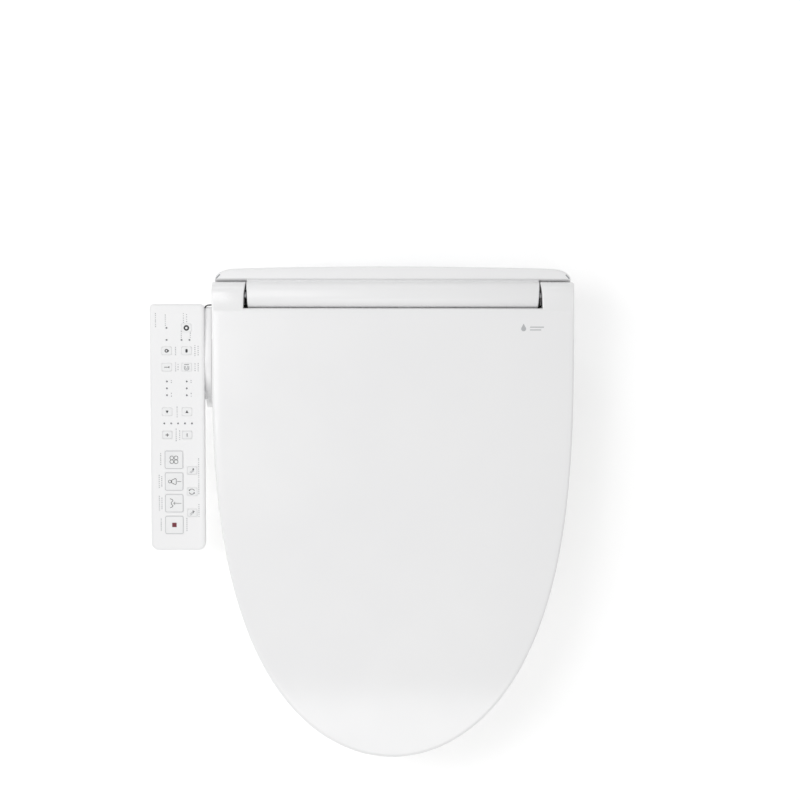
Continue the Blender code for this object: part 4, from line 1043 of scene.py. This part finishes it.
# %% Hollow it, and open it below
inner = prism_x("inner", inset(cover_shape, WALL), WALL - BARREL_HALF, BARREL_HALF - WALL)
pocket = box("pocket", (WALL + 8 - RIDGE_HALF, RIDGE_FRONT + WALL, WING_TOP),
             (RIDGE_HALF - WALL - 8, 38.0, RIDGE_TOP - WALL - 4))
opening = box("opening", (WALL - BARREL_HALF, BODY_FRONT + WALL, CASE_BOTTOM - 5),
              (BARREL_HALF - WALL, TRAY_BACK - WALL, WING_TOP + 2))
cut(top_case, inner, pocket, opening)
for side in (-1, 1):
    start = (side * (BARREL_HALF - 6), *HUB)
    cut(top_case, rod("hole", start, (side, 0, 0), 12.0, SHAFT_HOLE_R + 0.4))
finish_piece(top_case, "housing", housing_abs, ["top_case"], sharp=34.0)

# %% [markdown]
# ## Hinge slots
# Between each barrel end and its arm is a slot. Down in it the shaft runs through a black nylon
# collar, and a black sheet lines the slot. The sheet is painted shade, standing in for the deep
# shade down in the slot, and the collar is a real part whose black adds to it. Without them the
# white walls would light each other and the slot would look pale.

# %% Collars and painted shade sheets in the slots
for side, word in ((-1, "left"), (1, "right")):
    def out(distance):
        return (side * distance, *HUB)
    collar = turned(f"hinge_collar_{word}", [(0, 11.0), (0.5, 12.6), (0.9, 12.9), (1.1, 12.4)],
                    out(157.25), (side, 0, 0))
    cut(collar, rod("hole", out(150.0), (side, 0, 0), 20.0, SHAFT_HOLE_R + 0.3))
    sides = sorted((side * 158.2, side * 162.4))
    # Painted shade: this black sheet and its upright tongue stand in for the deep shade down in the
    # slot.
    liner = box("liner", (sides[0], -6.0, WING_TOP + 0.1), (sides[1], 33.4, WING_TOP + 1.4), 0.4)
    tongue = box("tongue", (sides[0], 6.5, WING_TOP + 0.8), (sides[1], 8.1, 76.0), 0.4)
    finish_piece(gather(f"slot_liner_{word}", [join(liner, tongue)]), "housing", black_rubber)
    # The collar is a real part; its black also paints part of the slot's shade.
    finish_piece(collar, "housing", dark_nylon)
print("slots lined")


# %% Softened copies of the frame's own pieces
def soften(node, name, body, material, slot_name, width=0.8, segments=3, change=None):
    """A copy of a CAD node with its edges rounded. Its mesh is merged first, because the packed
    one is loose triangles, and flat neighbours are dissolved so that the bevel runs clean."""
    mesh = nodes[node].data.copy()
    work = bmesh.new()
    work.from_mesh(mesh)
    bmesh.ops.remove_doubles(work, verts=work.verts, dist=0.000002)
    flats = math.radians(0.6)
    bmesh.ops.dissolve_limit(work, angle_limit=flats, verts=work.verts, edges=work.edges)
    work.to_mesh(mesh)
    work.free()
    piece = new_object(name, mesh)
    if change:
        change(piece)
    edge = piece.modifiers.new("edge", "BEVEL")
    edge.width, edge.segments, edge.limit_method = width * MM, segments, "ANGLE"
    edge.angle_limit, edge.use_clamp_overlap = math.radians(38.0), True
    settle(piece)
    return finish_piece(piece, body, material, [node], sharp=36.0)


# %% [markdown]
# ## Base tray, plate and ports
# Under the top case a tray closes the housing. Water comes in through a nickel-plated nipple on its
# back and the cord leaves through a rubber gland. These keep the frame's shapes, with their edges
# rounded. The screws repeat, so Geometry Nodes place them.

# %% Tray and works that show
white, grey = (housing_abs, "white_gloss_abs"), (grey_nylon, "grey_works_plastic")
for node, name, body, look, width in (
    ("base_tray", "housing_tray", "housing", white, 0.7),
    ("mounting_plate", "slide_on_plate", "housing", grey, 0.6),
    ("inlet_valve", "inlet_valve_body", "housing", (plated, "plated_brass"), 0.5),
    ("cord_gland", "cord_gland_rubber", "housing", (black_rubber, "grey_rubber"), 0.4),
    ("nozzle_block", "nozzle_guide", "housing", white, 0.5),
    ("dryer_flap", "dryer_flap_leaf", "dryer_flap", white, 0.3),
    ("deodoriser_cartridge", "carbon_cartridge", "deodoriser_cartridge", grey, 0.5),
    ("release_button", "release_key", "release_button", (key_abs, "white_gloss_abs"), 0.4),
    ("water_heater", "water_heater_tank", "housing", grey, 0.6),
    ("blower_case", "blower_housing", "housing", grey, 0.4),
):
    soften(node, name, body, *look, width)
print("softened pieces:", len(made_pieces))

# %% Finishes for the works that stay as the frame has them
inside_finishes = {
    dark_nylon: ["water_pump", "lid_damper", "seat_damper", "blower_fan"],
    grey_nylon: ["wash_pinion", "bidet_pinion"],
    steel: ["seat_hinge_shaft", "lid_hinge_shaft", "wash_nozzle_motor", "bidet_nozzle_motor"],
    solder_mask: ["control_board", "panel_board"],
    heating_foil: ["seat_heater"],
    smoked_acrylic: ["indicator_light_guide"],
}
for finish, names in inside_finishes.items():
    for name in names:
        nodes[name].material_slots[0].material = finish
print("frame pieces with new finishes:", sum(len(n) for n in inside_finishes.values()))

# %% [markdown]
# ## The control panel
# The panel is two shells: a cover with a film of printed polyester over it, and a case moulded
# in one with the bracket that carries it. Its middle and its 6 degree tilt come from the frame's
# cover. Everything on it is drawn in the panel's own plane, x to the right and y towards the
# back, and one matrix puts it in place.

# %% The panel's plane and layout
PANEL_SIZE, PANEL_CENTRE, PANEL_TILT = (59.4, 269.0), (-233.8, -125.2, 78.0), math.radians(6.0)
COVER_DEPTH, CASE_DEPTH, PANEL_WALL = 10.0, 26.0, 2.0
PANEL = Matrix.Translation(Vector(PANEL_CENTRE) * MM) @ Matrix.Rotation(PANEL_TILT, 4, "X")
BIG_KEY, SMALL_KEY, BIG_PROUD, SMALL_PROUD = 20.4, (11.0, 9.0), 0.8, 0.3
big_keys = {
    "stop_key": (-4.2, -106.3), "wash_key": (-4.2, -82.5),
    "bidet_key": (-4.2, -58.7), "dry_key": (-4.2, -34.9),
}
small_keys = {
    "power_key": (10.3, 108.6), "eco_key": (-11.2, 83.8), "deodorise_key": (10.3, 83.8),
    "water_heat_key": (-11.2, 66.0), "seat_heat_key": (10.3, 66.0),
    "nozzle_back_key": (-11.2, 17.5), "nozzle_forward_key": (10.3, 17.5),
    "pressure_up_key": (-11.2, -7.8), "pressure_down_key": (10.3, -7.8),
    "massage_key": (15.4, -46.6), "move_key": (15.4, -69.8), "clean_key": (15.4, -93.0),
}
keys = big_keys | small_keys
lamps = [(-11.2, 108.6), (-11.2, 95.6), (5.0, 95.6), (13.6, 95.6)]
lamps += [(x, 43.0 + 7.5 * k) for x in (-11.2, 10.3) for k in (-1, 0, 1)]
lamps += [(0.6 + 7.5 * k, 4.8) for k in (-2, -1, 0, 1, 2)]
print("panel:", len(big_keys), "big keys,", len(small_keys), "small keys,", len(lamps), "lamps")


def on_panel(piece):
    """Puts a piece drawn in the panel's plane where the panel is."""
    piece.data.transform(PANEL)
    return piece


def many(name, outlines, low, high):
    return gather(name, [prism_z(name, outline, low, high) for outline in outlines])


def panel_ring(inwards, z, corners, steps=10):
    """The panel's outline moved inwards, at one height."""
    w, h = (side - 2 * inwards for side in PANEL_SIZE)
    return [(x, y, z) for x, y in rounded(w, h, corners, steps=steps)]


def key_outlines(grow):
    side, (w, h) = BIG_KEY + 2 * grow, SMALL_KEY
    big = [rounded(side, side, 2.0 + grow, p, 5) for p in big_keys.values()]
    return big + [
        rounded(w + 2 * grow, h + 2 * grow, 1.6 + grow, p, 4) for p in small_keys.values()]


# %% Panel cover and its film
FILM_INSET, FILM_THICK = 3.2, 0.14
levels = [(0.6, -COVER_DEPTH), (0.0, -3.2), (0.15, -2.0), (0.55, -1.1), (1.2, -0.5),
          (2.0, -0.14), (2.8, 0.0)]
rings = [panel_ring(d, z, (5.0 - d * 0.5, 8.0 - d * 0.5)) for d, z in levels]
cover = stack("panel_cover_moulding", rings)
inner_w, inner_h = (side - 2 * PANEL_WALL - 1.2 for side in PANEL_SIZE)
cut(cover, prism_z("hollow", rounded(inner_w, inner_h, 3.0), -COVER_DEPTH - 5, -PANEL_WALL))
cut(cover, many("key_holes", key_outlines(0.4), -5.0, 5.0))
cut(cover, many("lamp_holes", [circle(p, 1.2, 16) for p in lamps], -5.0, 5.0))
finish_piece(on_panel(cover), "housing", housing_abs, ["panel_cover"])

sheet_w, sheet_h = (side - 2 * FILM_INSET for side in PANEL_SIZE)
sheet = prism_z("film", rounded(sheet_w, sheet_h, (3.0, 5.5), steps=8), 0.02, FILM_THICK)
cut(sheet, many("key_holes", key_outlines(0.08), -1.0, 1.0))
cut(sheet, many("lamp_holes", [circle(p, 1.05, 16) for p in lamps], -1.0, 1.0))
sheet.name = "panel_film"
finish_piece(on_panel(sheet), "housing", film)

# %% [markdown]
# ## Key caps
# Sixteen caps stand in the cover, each a body of its own that can be pressed. The four big ones
# are slightly dished so that a fingertip finds them. All caps are the same stack of rounded
# outlines, with their sizes changed.

# %% Sixteen key caps
def key_cap(name, place, size, proud, dish):
    w, h = size
    levels = [(2.0, -3.6), (2.0, -PANEL_WALL - GAP), (0.0, -PANEL_WALL - GAP), (0.0, proud - 0.3),
              (-0.1, proud - 0.12), (-0.35, proud - 0.02), (-0.7, proud)]
    rings = []
    for grow, z in levels:
        shape = rounded(w + grow, h + grow, max(1.2, 2.0 + grow / 2), place, 6)
        rings.append([(x, y, z) for x, y in shape])
    for share, depth in ((0.75, 0.45), (0.5, 0.8), (0.25, 0.95)):
        shape = rounded((w - 0.7) * share, (h - 0.7) * share, 2.0 * share, place, 6)
        rings.append([(x, y, proud - dish * depth) for x, y in shape])
    return stack(f"{name}_cap", rings)


for name, place in keys.items():
    big = name in big_keys
    size, proud = ((BIG_KEY, BIG_KEY), BIG_PROUD) if big else (SMALL_KEY, SMALL_PROUD)
    cap = key_cap(name, place, size, proud, 0.28 if big else 0.06)
    finish_piece(on_panel(cap), name, key_abs, [name])
print("keys:", len(big_keys) + len(small_keys))

# %% [markdown]
# ## Legends on the keys
# Each key carries a plain sign of what it does. The signs are simple shapes drawn in the panel's
# plane: rings, bars, drops and arrows, in charcoal ink, and one maroon square for stop.

# %% Signs on the keys
def ellipse(centre, across, along, steps=24):
    turn = [2 * math.pi * k / steps for k in range(steps)]
    return [(centre[0] + across * math.cos(a), centre[1] + along * math.sin(a)) for a in turn]


def curve_arrow(centre, radius, start, end):
    """An arc with a barbed end, for the signs that mean round and round."""
    path = arc(centre, radius, start, end, 14)
    (ax, ay), (bx, by) = path[-2], path[-1]
    c, s = (bx - ax), (by - ay)
    size = math.hypot(c, s)
    c, s = c / size, s / size
    tip = (bx + 1.3 * c, by + 1.3 * s)
    barb = [tip, (bx - 0.95 * s - 0.2 * c, by + 0.95 * c - 0.2 * s),
            (bx + 0.95 * s - 0.2 * c, by - 0.95 * c - 0.2 * s)]
    return (path, 0.6, False), barb


arrow_a, barb_a = curve_arrow((-0.4, 0.0), 2.9, 200, 325)
arrow_b, barb_b = curve_arrow((-0.4, 0.0), 2.9, 20, 145)
# Filled outlines, then lines as (path, width, closed), all counted from the key's middle.
signs = {
    "dry_key": ([], [
        (circle((a, b), 2.05, 20), 0.5, True)
        for a, b in ((-2.3, -2.1), (2.3, -2.1), (-2.3, 2.1), (2.3, 2.1))]),
    "bidet_key": ([], [
        (circle((-4.6, 0.0), 1.55, 18), 0.5, True),
        ([(-2.6, -1.4), (-2.6, 1.4), (1.2, 3.3), (2.4, 2.6), (2.4, -2.6), (1.2, -3.3)], 0.5, True),
        ([(3.4, 0.0), (5.4, 0.0), (8.2, 0.0)], 0.4, False)]),
    "wash_key": ([], [
        ([(-4.4, 5.0), (-2.0, 3.9), (-1.4, 2.6), (-3.0, 1.2), (-3.2, 0.0), (-3.0, -1.2),
          (-1.4, -2.6), (-2.0, -3.9), (-4.4, -5.0)], 0.55, False),
        ([(-0.6, 0.0), (3.0, 0.0), (8.2, 0.0)], 0.4, False),
        ([(1.0, 1.6), (-0.6, 0.0), (1.0, -1.6)], 0.4, False)]),
    "stop_key": ([rounded(4.8, 4.8, 0.3, (0.0, 0.0), 2)], []),
    "power_key": ([], [(circle((0.0, 0.0), 2.15, 28), 1.75, True)]),
    "eco_key": ([[(1.4, -1.3), (3.0, 0.0), (1.4, 1.3)]], [
        (circle((-0.2, 0.0), 1.45, 20), 1.1, True)]),
    "deodorise_key": ([rounded(2.5, 4.0, 1.1, (0.0, 0.0), 5)], []),
    "water_heat_key": ([rounded(0.9, 1.9, 0.4, (2.4, 0.0), 3)], [
        ([(-2.8, 0.0), (0.0, 0.0), (2.2, 0.0)], 0.65, False)]),
    "seat_heat_key": ([], [
        ([(-2.4, 1.4), (-2.4, -1.6), (-1.4, -3.0), (1.4, -3.0), (2.4, -1.6), (2.4, 1.4)],
         0.55, False),
        ([(-1.0, 1.4), (-1.0, -1.4), (0.0, -1.7), (1.0, -1.4), (1.0, 1.4)],
         0.4, False),
        ([(-2.6, 2.9), (0.0, 2.9), (2.6, 2.9)], 0.6, False)]),
    "nozzle_back_key": ([[(-1.65, 1.3), (0.0, -1.8), (1.65, 1.3)]], []),
    "nozzle_forward_key": ([[(-1.65, -1.3), (1.65, -1.3), (0.0, 1.8)]], []),
    "pressure_up_key": ([], [
        ([(-1.9, 0.0), (0.0, 0.0), (1.9, 0.0)], 0.8, False),
        ([(0.0, -1.7), (0.0, -0.41)], 0.8, False),
        ([(0.0, 0.41), (0.0, 1.7)], 0.8, False)]),
    "pressure_down_key": ([], [
        ([(0.0, -1.8), (0.0, 0.0), (0.0, 1.8)], 0.8, False)]),
    "massage_key": ([ellipse((1.3, 1.2), 0.9, 1.2)], [
        ([(-2.6, -2.4), (-0.6, -0.8), (0.6, 0.3)], 0.4, False),
        ([(-1.2, -2.8), (0.4, -1.4), (1.6, -0.4)], 0.4, False)]),
    "move_key": ([barb_a, barb_b], [arrow_a, arrow_b]),
    "clean_key": ([ellipse((1.0, 0.9), 0.8, 1.1)], [
        ([(-2.8, -1.6), (-1.0, -0.2), (0.2, 0.9)], 0.4, False),
        ([(-2.2, -2.9), (-0.4, -1.5), (1.0, -0.5)], 0.4, False),
        ([(0.2, 2.9), (1.6, 1.9), (2.8, 0.9)], 0.4, False)]),
}
thin_inks = dict.fromkeys(("massage_key", "clean_key", "seat_heat_key"), line_ink_dark)
for key, (fills, lines) in signs.items():
    proud = BIG_PROUD - 0.16 if key in big_keys else SMALL_PROUD - 0.03
    x0, y0 = keys[key]
    fills = [[(x0 + x, y0 + y) for x, y in outline] for outline in fills]
    lines = [([(x0 + x, y0 + y) for x, y in path], width, shut) for path, width, shut in lines]
    sign = marks(f"{key}_sign", fills, lines, lambda x, y: proud, 0.06, 0.3)
    ink = maroon_ink if key == "stop_key" else thin_inks.get(key, charcoal_ink)
    finish_piece(on_panel(sign), key, ink)

# %% [markdown]
# ## Painted shade lines on the keys
# Round the rim of each big key runs a grey line, and faint grey squares frame four of the small
# keys: painted shade of the gaps round the keys, drawn as thin ink solids.

# %% Painted shade lines round the keys
# A grey line round a key, painting the shade of the gap round it.
def key_outline(key, size, corner, steps, width, proud, lift, ink):
    line = (rounded(*size, corner, keys[key], steps), width, True)
    drawn = marks(f"{key}_outline", (), [line], lambda x, y: proud, lift, 0.2)
    finish_piece(on_panel(drawn), key, ink)


for key in big_keys:
    size = (BIG_KEY - 1.3, BIG_KEY - 1.3)
    key_outline(key, size, 1.7, 6, 0.55, BIG_PROUD - 0.02, 0.05, key_gap_shade_ink)
for key in ("pressure_up_key", "pressure_down_key", "massage_key", "clean_key"):
    size = (SMALL_KEY[0] - 1.2, SMALL_KEY[1] - 1.2)
    key_outline(key, size, 1.4, 5, 0.35, SMALL_PROUD - 0.01, 0.04, faint_key_gap_shade_ink)

# %% [markdown]
# ## Label dashes and lamps
# The real panel has a line of tiny words beside most keys. Here each label is a row of plain
# dashes, so that it says nothing. Geometry Nodes lay them: every label is an edge of a mesh, the
# edge becomes a curve, the curve is sampled at the dash pitch, and a small bar stands on each
# point, its length varied with a fixed seed. The lamps are domes on single points.

# %% Label dashes
labels = [  # (x, first y, last y) in the panel's plane
    (-23.0, 124.0, 110.0), (-18.6, -28.0, -40.0), (-20.4, -52.0, -65.0), (-17.6, -53.5, -63.5),
    (-20.4, -75.0, -90.0), (-17.6, -77.0, -88.0), (-18.6, -100.0, -112.0), (-12.4, 122.5, 111.5),
    (7.2, 124.0, 114.5), (10.6, 123.0, 115.5), (4.8, 105.0, 98.5), (14.5, 105.0, 98.5),
    (-1.6, 87.5, 79.5), (-1.6, 70.5, 62.0), (1.0, 69.0, 63.5), (-6.4, 51.5, 49.5),
    (-6.4, 37.5, 34.5), (15.0, 51.5, 49.5), (15.0, 37.5, 34.5), (-0.4, 22.5, 12.0),
    (-1.6, -1.5, -14.0), (2.2, -3.5, -12.5), (9.4, -99.5, -112.5), (19.4, 89.5, 78.5),
    (22.8, 88.5, 79.5), (19.4, 69.5, 62.5), (22.8, 70.0, 62.0), (22.6, -34.0, -54.0),
    (22.6, -57.0, -72.0), (22.6, -84.0, -97.0),
]
corners, edges = [], []
for x, first_y, last_y in labels:
    edges.append((len(corners), len(corners) + 1))
    corners += [(x, first_y, FILM_THICK), (x, last_y, FILM_THICK)]
label_lines = bpy.data.meshes.new("label_lines")
label_lines.from_pydata([Vector(p) * MM for p in corners], edges, [])
dash_sizes = {"Pitch": 1.9 * MM, "Dash Width": 1.15 * MM, "Dash Height": 0.05 * MM,
              "Shortest": 0.8 * MM, "Longest": 1.5 * MM, "Seed": 7}
tree, sizes_in = start_tree("label_dashes", dash_sizes)
source = tree.nodes["Group Input"].outputs["Geometry"]
as_curve = add_node(tree, "GeometryNodeMeshToCurve", None, {"Mesh": source})
spaced = add_node(tree, "GeometryNodeResampleCurve", {"mode": "LENGTH"}, {
    "Curve": as_curve.outputs[0], "Length": sizes_in["Pitch"]})
bar = add_node(tree, "GeometryNodeMeshCube", None, {"Size": (1.0, 1.0, 1.0)})
length = add_node(tree, "FunctionNodeRandomValue", {"data_type": "FLOAT"}, {
    "Seed": sizes_in["Seed"]})
for socket, size in ((2, "Shortest"), (3, "Longest")):
    tree.links.new(sizes_in[size], length.inputs[socket])
scale = add_node(tree, "ShaderNodeCombineXYZ", None, {
    "X": sizes_in["Dash Width"], "Y": length.outputs[1], "Z": sizes_in["Dash Height"]})
standing = add_node(tree, "GeometryNodeInstanceOnPoints", None, {
    "Points": spaced.outputs[0], "Instance": bar.outputs[0], "Scale": scale.outputs[0]})
end_tree(tree, standing.outputs[0], grey_ink)
dashes = run_tree("panel_labels", tree, dash_sizes, label_lines)
finish_piece(on_panel(dashes), "housing", grey_ink)

# %% [markdown]
# ## Repeated small parts
# One tree stands a prototype on every point of a mesh: the indicator lamps, the screws under the
# tray and under the panel, and the ribs on the two grips. The prototype is an input, so the same
# tree serves each of them.

# %% Lamps, screws and ribs
def scatter(name, prototype, points, material):
    """Stands one prototype on every point, by a Geometry Nodes tree with the prototype as input."""
    sizes = {"Prototype": prototype, "Scale": 1.0}
    tree, known = start_tree(f"{name}_rule", sizes)
    shape = add_node(tree, "GeometryNodeObjectInfo", {"transform_space": "ORIGINAL"}, {
        "Object": known["Prototype"]})
    standing = add_node(tree, "GeometryNodeInstanceOnPoints", None, {
        "Points": known["Geometry"], "Instance": shape.outputs["Geometry"],
        "Scale": known["Scale"]})
    end_tree(tree, standing.outputs[0], material)
    made = run_tree(name, tree, sizes, points_mesh(f"{name}_points", points))
    bpy.data.objects.remove(prototype)
    return made


lens_profile = [(-0.6, 1.0), (-0.1, 1.0), (0.1, 0.95), (0.26, 0.75), (0.34, 0.4), (0.36, 0.15)]
lens = turned("lens", lens_profile, (0, 0, 0), (0, 0, 1), 20)
lenses = scatter("indicator_lenses", lens, [(x, y, 0.0) for x, y in lamps], smoked_acrylic)
finish_piece(on_panel(lenses), "housing", smoked_acrylic)


def screw_head(name, radius, height, direction):
    """A pan head with a cross recess. Its seat is at the origin and it looks along direction."""
    profile = [(-1.2, radius), (0.25 * height, radius), (0.6 * height, 0.9 * radius),
               (0.87 * height, 0.65 * radius), (height, 0.3 * radius)]
    head = turned(name, profile, (0, 0, 0), (0, 0, 1), 28)
    for w, h in ((0.35 * radius, 1.25 * radius), (1.25 * radius, 0.35 * radius)):
        bar = rounded(w, h, 0.15 * radius, steps=2)
        cut(head, prism_z("cross", bar, 0.35 * height, height + 2))
    if direction < 0:
        head.data.transform(Matrix.Rotation(math.pi, 4, "X"))
    return head


panel_screws = [(x, y, -CASE_DEPTH) for x in (-14.0, 14.0) for y in (-108.0, 0.0, 108.0)]
screws = scatter("panel_case_screws", screw_head("head", 2.6, 1.3, -1), panel_screws, steel)
finish_piece(on_panel(screws), "housing", steel)
floor_screws = [(x, y, FLOOR_BOTTOM) for x in (-178.0, -125.0, 125.0, 178.0) for y in (-70.0, 24.0)]
screws = scatter("tray_screws", screw_head("head", 3.4, 1.6, -1), floor_screws, steel)
finish_piece(screws, "housing", steel)

for name, body, finish, half, places in (
    ("release_key_ribs", "release_button", key_abs, 5.2,
     [(192.4, 3.0 * k - 55.0, 25.0) for k in range(-2, 3)]),
    ("cartridge_ribs", "deodoriser_cartridge", grey_nylon, 8.0,
     [(190.8, 3.2 * k, 28.0) for k in range(-3, 4)]),
):
    rib = box("rib", (-0.5, -0.55, -half), (0.45, 0.55, half), 0.25)
    finish_piece(scatter(name, rib, places, finish), body, finish)

# %% [markdown]
# ## Panel case and bracket
# Below the cover is the case, flared towards its top, and beside it the bracket that holds the
# panel out from the housing. The bracket stands up level at the back, then rolls over and down
# towards the front in a quarter of an ellipse.

# %% Case and bracket
levels = [(8.6, -CASE_DEPTH), (7.6, -25.8), (6.8, -25.3), (2.9, -23.4), (2.2, -22.7), (1.7, -21.7),
          (1.1, -18.6), (0.6, -15.0), (0.6, -COVER_DEPTH - GAP)]
case = stack("panel_case_moulding", [panel_ring(d, z, (4.8, 7.6)) for d, z in levels])
inner_levels = [(9.0, 2.4 - CASE_DEPTH), (4.6, 6.0 - CASE_DEPTH), (2.8, 0.0)]
cut(case, stack("hollow", [panel_ring(d, z, 3.5, 6) for d, z in inner_levels]))
join(case, box("bridge", (26.9, 30.0, -22.0), (31.0, 112.0, -13.0), 0.8))
on_panel(case)

BRACKET_TOP, BRACKET_LOW, BRACKET_FOOT, BRACKET_ROLL = 83.0, 54.0, 16.0, 62.0
BRACKET_BACK, BRACKET_FRONT, BRACKET_OUTER, BRACKET_INNER = 6.5, -102.0, -204.5, -197.0
bracket_middle = (BRACKET_FRONT + BRACKET_ROLL, BRACKET_FOOT + 8.0)
roll_up = BRACKET_TOP - bracket_middle[1]
profile = [(BRACKET_BACK, BRACKET_FOOT), (BRACKET_BACK, BRACKET_TOP - 4.0)]
profile += arc((BRACKET_BACK - 4.0, BRACKET_TOP - 4.0), 4.0, 15, 90, 6)
for k in range(37):
    a = math.radians(2.5 * k)
    y = bracket_middle[0] - BRACKET_ROLL * math.sin(a) ** 0.83
    profile.append((y, bracket_middle[1] + roll_up * math.cos(a) ** 0.83))
profile.append((BRACKET_FRONT, BRACKET_FOOT))
upright = prism_x("upright", profile, BRACKET_OUTER, BRACKET_INNER, 0.6, 3)
low_profile = [(y, min(z, BRACKET_LOW)) for y, z in profile]
lower = prism_x("lower", low_profile, BRACKET_OUTER + 0.4, -BODY_HALF - GAP)
near = (BRACKET_OUTER + 2.2, BRACKET_FRONT + 20, BRACKET_FOOT + 4)
far = (5 - BODY_HALF, BRACKET_BACK - 6, BRACKET_LOW - 6)
join(upright, lower)
cut(upright, box("duct", near, far))
join(case, upright)
finish_piece(case, "housing", housing_abs, ["panel_case"], sharp=34.0)

# %% [markdown]
# ## Nozzles
# The two wands lie side by side in the guide. Each has a domed end, a flat on top near the tip
# with its spray holes, and the rack that the pinion drives.

# %% Wands
NOZZLE_SLOPE, NOZZLE_TIP, NOZZLE_X = math.radians(35.0), (-78.0, -8.0), 13.0
wand_way = Vector((0.0, math.cos(NOZZLE_SLOPE), math.sin(NOZZLE_SLOPE)))
wand_up = Vector((0.0, -math.sin(NOZZLE_SLOPE), math.cos(NOZZLE_SLOPE)))
print("the wands slide along", [round(v, 3) for v in wand_way])
for name, x, holes in (("wash_nozzle", -NOZZLE_X, ((7.0, 0.0), (10.0, -1.4), (10.0, 1.4))),
                       ("bidet_nozzle", NOZZLE_X, ((7.0, -1.3), (7.0, 1.3), (10.0, -1.3),
                                                   (10.0, 1.3), (13.0, 0.0)))):
    spray = []
    for down, aside in holes:
        start = Vector((x + aside, *NOZZLE_TIP)) + wand_way * down + wand_up * 4.2
        spray.append(rod("hole", start, wand_up, 6.0, 0.6, 12))
    soften(name, f"{name}_wand", name, key_abs, "white_gloss_abs", 0.35, 2,
           lambda piece: cut(piece, gather("spray", spray)))

# %% [markdown]
# ## Painted shade in small gaps
# A black hooked rod at the bracket's back end paints the dark shadow gap there, and two short grey
# rods lie slantwise at the rear corners of the lid, between it and the ridge, painting the shade in
# the gaps at those corners.

# %% Shade rods at the bracket and the rear corners
def bent_rod(name, path, radius, sides=14):
    """A rod along a path in space, with flat ends."""
    rings = []
    for i, point in enumerate(path):
        here = Vector(point)
        last, after = Vector(path[max(0, i - 1)]), Vector(path[min(len(path) - 1, i + 1)])
        way = (after - last).normalized()
        across = way.cross(Vector((0.0, 1.0, 0.0))).normalized()
        up = way.cross(across)
        turn = [2 * math.pi * k / sides for k in range(sides)]
        rings.append([here + (across * math.cos(a) + up * math.sin(a)) * radius for a in turn])
    return stack(name, rings)


# Painted shade: a black hooked rod standing in for the dark shadow gap at the bracket's back end.
hook_path = [(-196.4, 8.0, 83.2), (-198.4, 8.0, 83.4), (-200.8, 7.8, 83.4), (-202.4, 7.1, 83.3),
             (-203.4, 6.1, 83.2), (-203.9, 4.8, 83.0)]
finish_piece(bent_rod("cable_clip", hook_path, 0.75), "housing", black_rubber)
for side, name in ((-1, "left"), (1, "right")):
    # Painted shade: short grey rods standing in for the shade in the gaps at the ridge's rear
    # corners.
    slant = [(side * 191.4, 36.6, 88.2), (side * 189.6, 38.6, 88.4), (side * 187.6, 40.8, 88.2)]
    finish_piece(bent_rod(f"rear_buffer_{name}", slant, 0.6), "housing", grey_rubber)

# %% [markdown]
# ## Floor, camera and lights
# The camera hangs above the seat and a little in front, with a long lens, so that the lid is seen
# almost square on. The floor is a plain pale sheet. The light is soft and comes from everywhere,
# a little stronger from the left, so that white parts on white stay readable.

# %% Floor
low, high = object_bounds()
print("finished size, mm:", [round((b - a) * 1000, 1) for a, b in zip(low, high)])
FLOOR_SIDE = 6.0
bpy.ops.mesh.primitive_plane_add(size=FLOOR_SIDE, location=(0.0, -0.2, low[2] - 0.0005))
floor = bpy.context.active_object
floor.name = "floor"
floor_paint = bpy.data.materials.new("floor_paper_white")
floor_paint.use_nodes = True
shader = floor_paint.node_tree.nodes["Principled BSDF"]
shader.inputs["Base Color"].default_value = linear("FAFAFA")
shader.inputs["Roughness"].default_value = 0.9
shader.inputs["Emission Color"].default_value = (1.0, 1.0, 1.0, 1.0)
shader.inputs["Emission Strength"].default_value = 0.26
floor.data.materials.append(floor_paint)

# %% Camera
EYE, AIM = Vector((-0.0235, -0.1373, 2.398)), Vector((0.0075, -0.0953, 0.098))
camera_data = bpy.data.cameras.new("camera")
camera_data.lens, camera_data.sensor_width = 96.0, 36.0
camera = new_object("camera", camera_data)
back = (EYE - AIM).normalized()
right = Vector((0.0, 1.0, 0.0)).cross(back).normalized()
up = back.cross(right)
camera.matrix_world = Matrix.Translation(EYE) @ Matrix((right, up, back)).transposed().to_4x4()
bpy.context.scene.camera = camera
print("camera at", tuple(round(v, 3) for v in EYE))

# %% Lights
def softbox(name, place, aim, size, power):
    light = bpy.data.lights.new(name, "AREA")
    light.shape, light.size, light.size_y, light.energy = "RECTANGLE", *size, power
    made = new_object(name, light)
    made.location = place
    made.rotation_euler = (Vector(aim) - Vector(place)).to_track_quat("-Z", "Y").to_euler()
    return made


softbox("overhead", (-0.85, 0.1, 1.9), (0.0, -0.15, 0.05), (0.8, 1.0), 10.0)
softbox("front", (-0.1, -1.5, 1.9), (0.0, -0.3, 0.05), (1.4, 0.8), 9.0)
softbox("rear", (-0.3, 1.6, 1.3), (0.0, 0.0, 0.08), (1.4, 0.6), 3.8)

world = bpy.data.worlds.new("studio")
bpy.context.scene.world = world
world.use_nodes = True
tree = world.node_tree
tree.nodes.clear()
where = add_node(tree, "ShaderNodeTexCoord")
parts = add_node(tree, "ShaderNodeSeparateXYZ", None, {"Vector": where.outputs["Generated"]})
side = add_node(tree, "ShaderNodeMapRange", None, {
    "Value": parts.outputs["X"], "From Min": -1.0, "From Max": 1.0, "To Min": 0.58, "To Max": 0.50})
sky = add_node(tree, "ShaderNodeBackground", None, {
    "Color": linear("FFFFFF"), "Strength": side.outputs[0]})
add_node(tree, "ShaderNodeOutputWorld", None, {"Surface": sky.outputs[0]})
bpy.context.scene.view_settings.view_transform = "Standard"
print("lights: three softboxes and a pale sky")
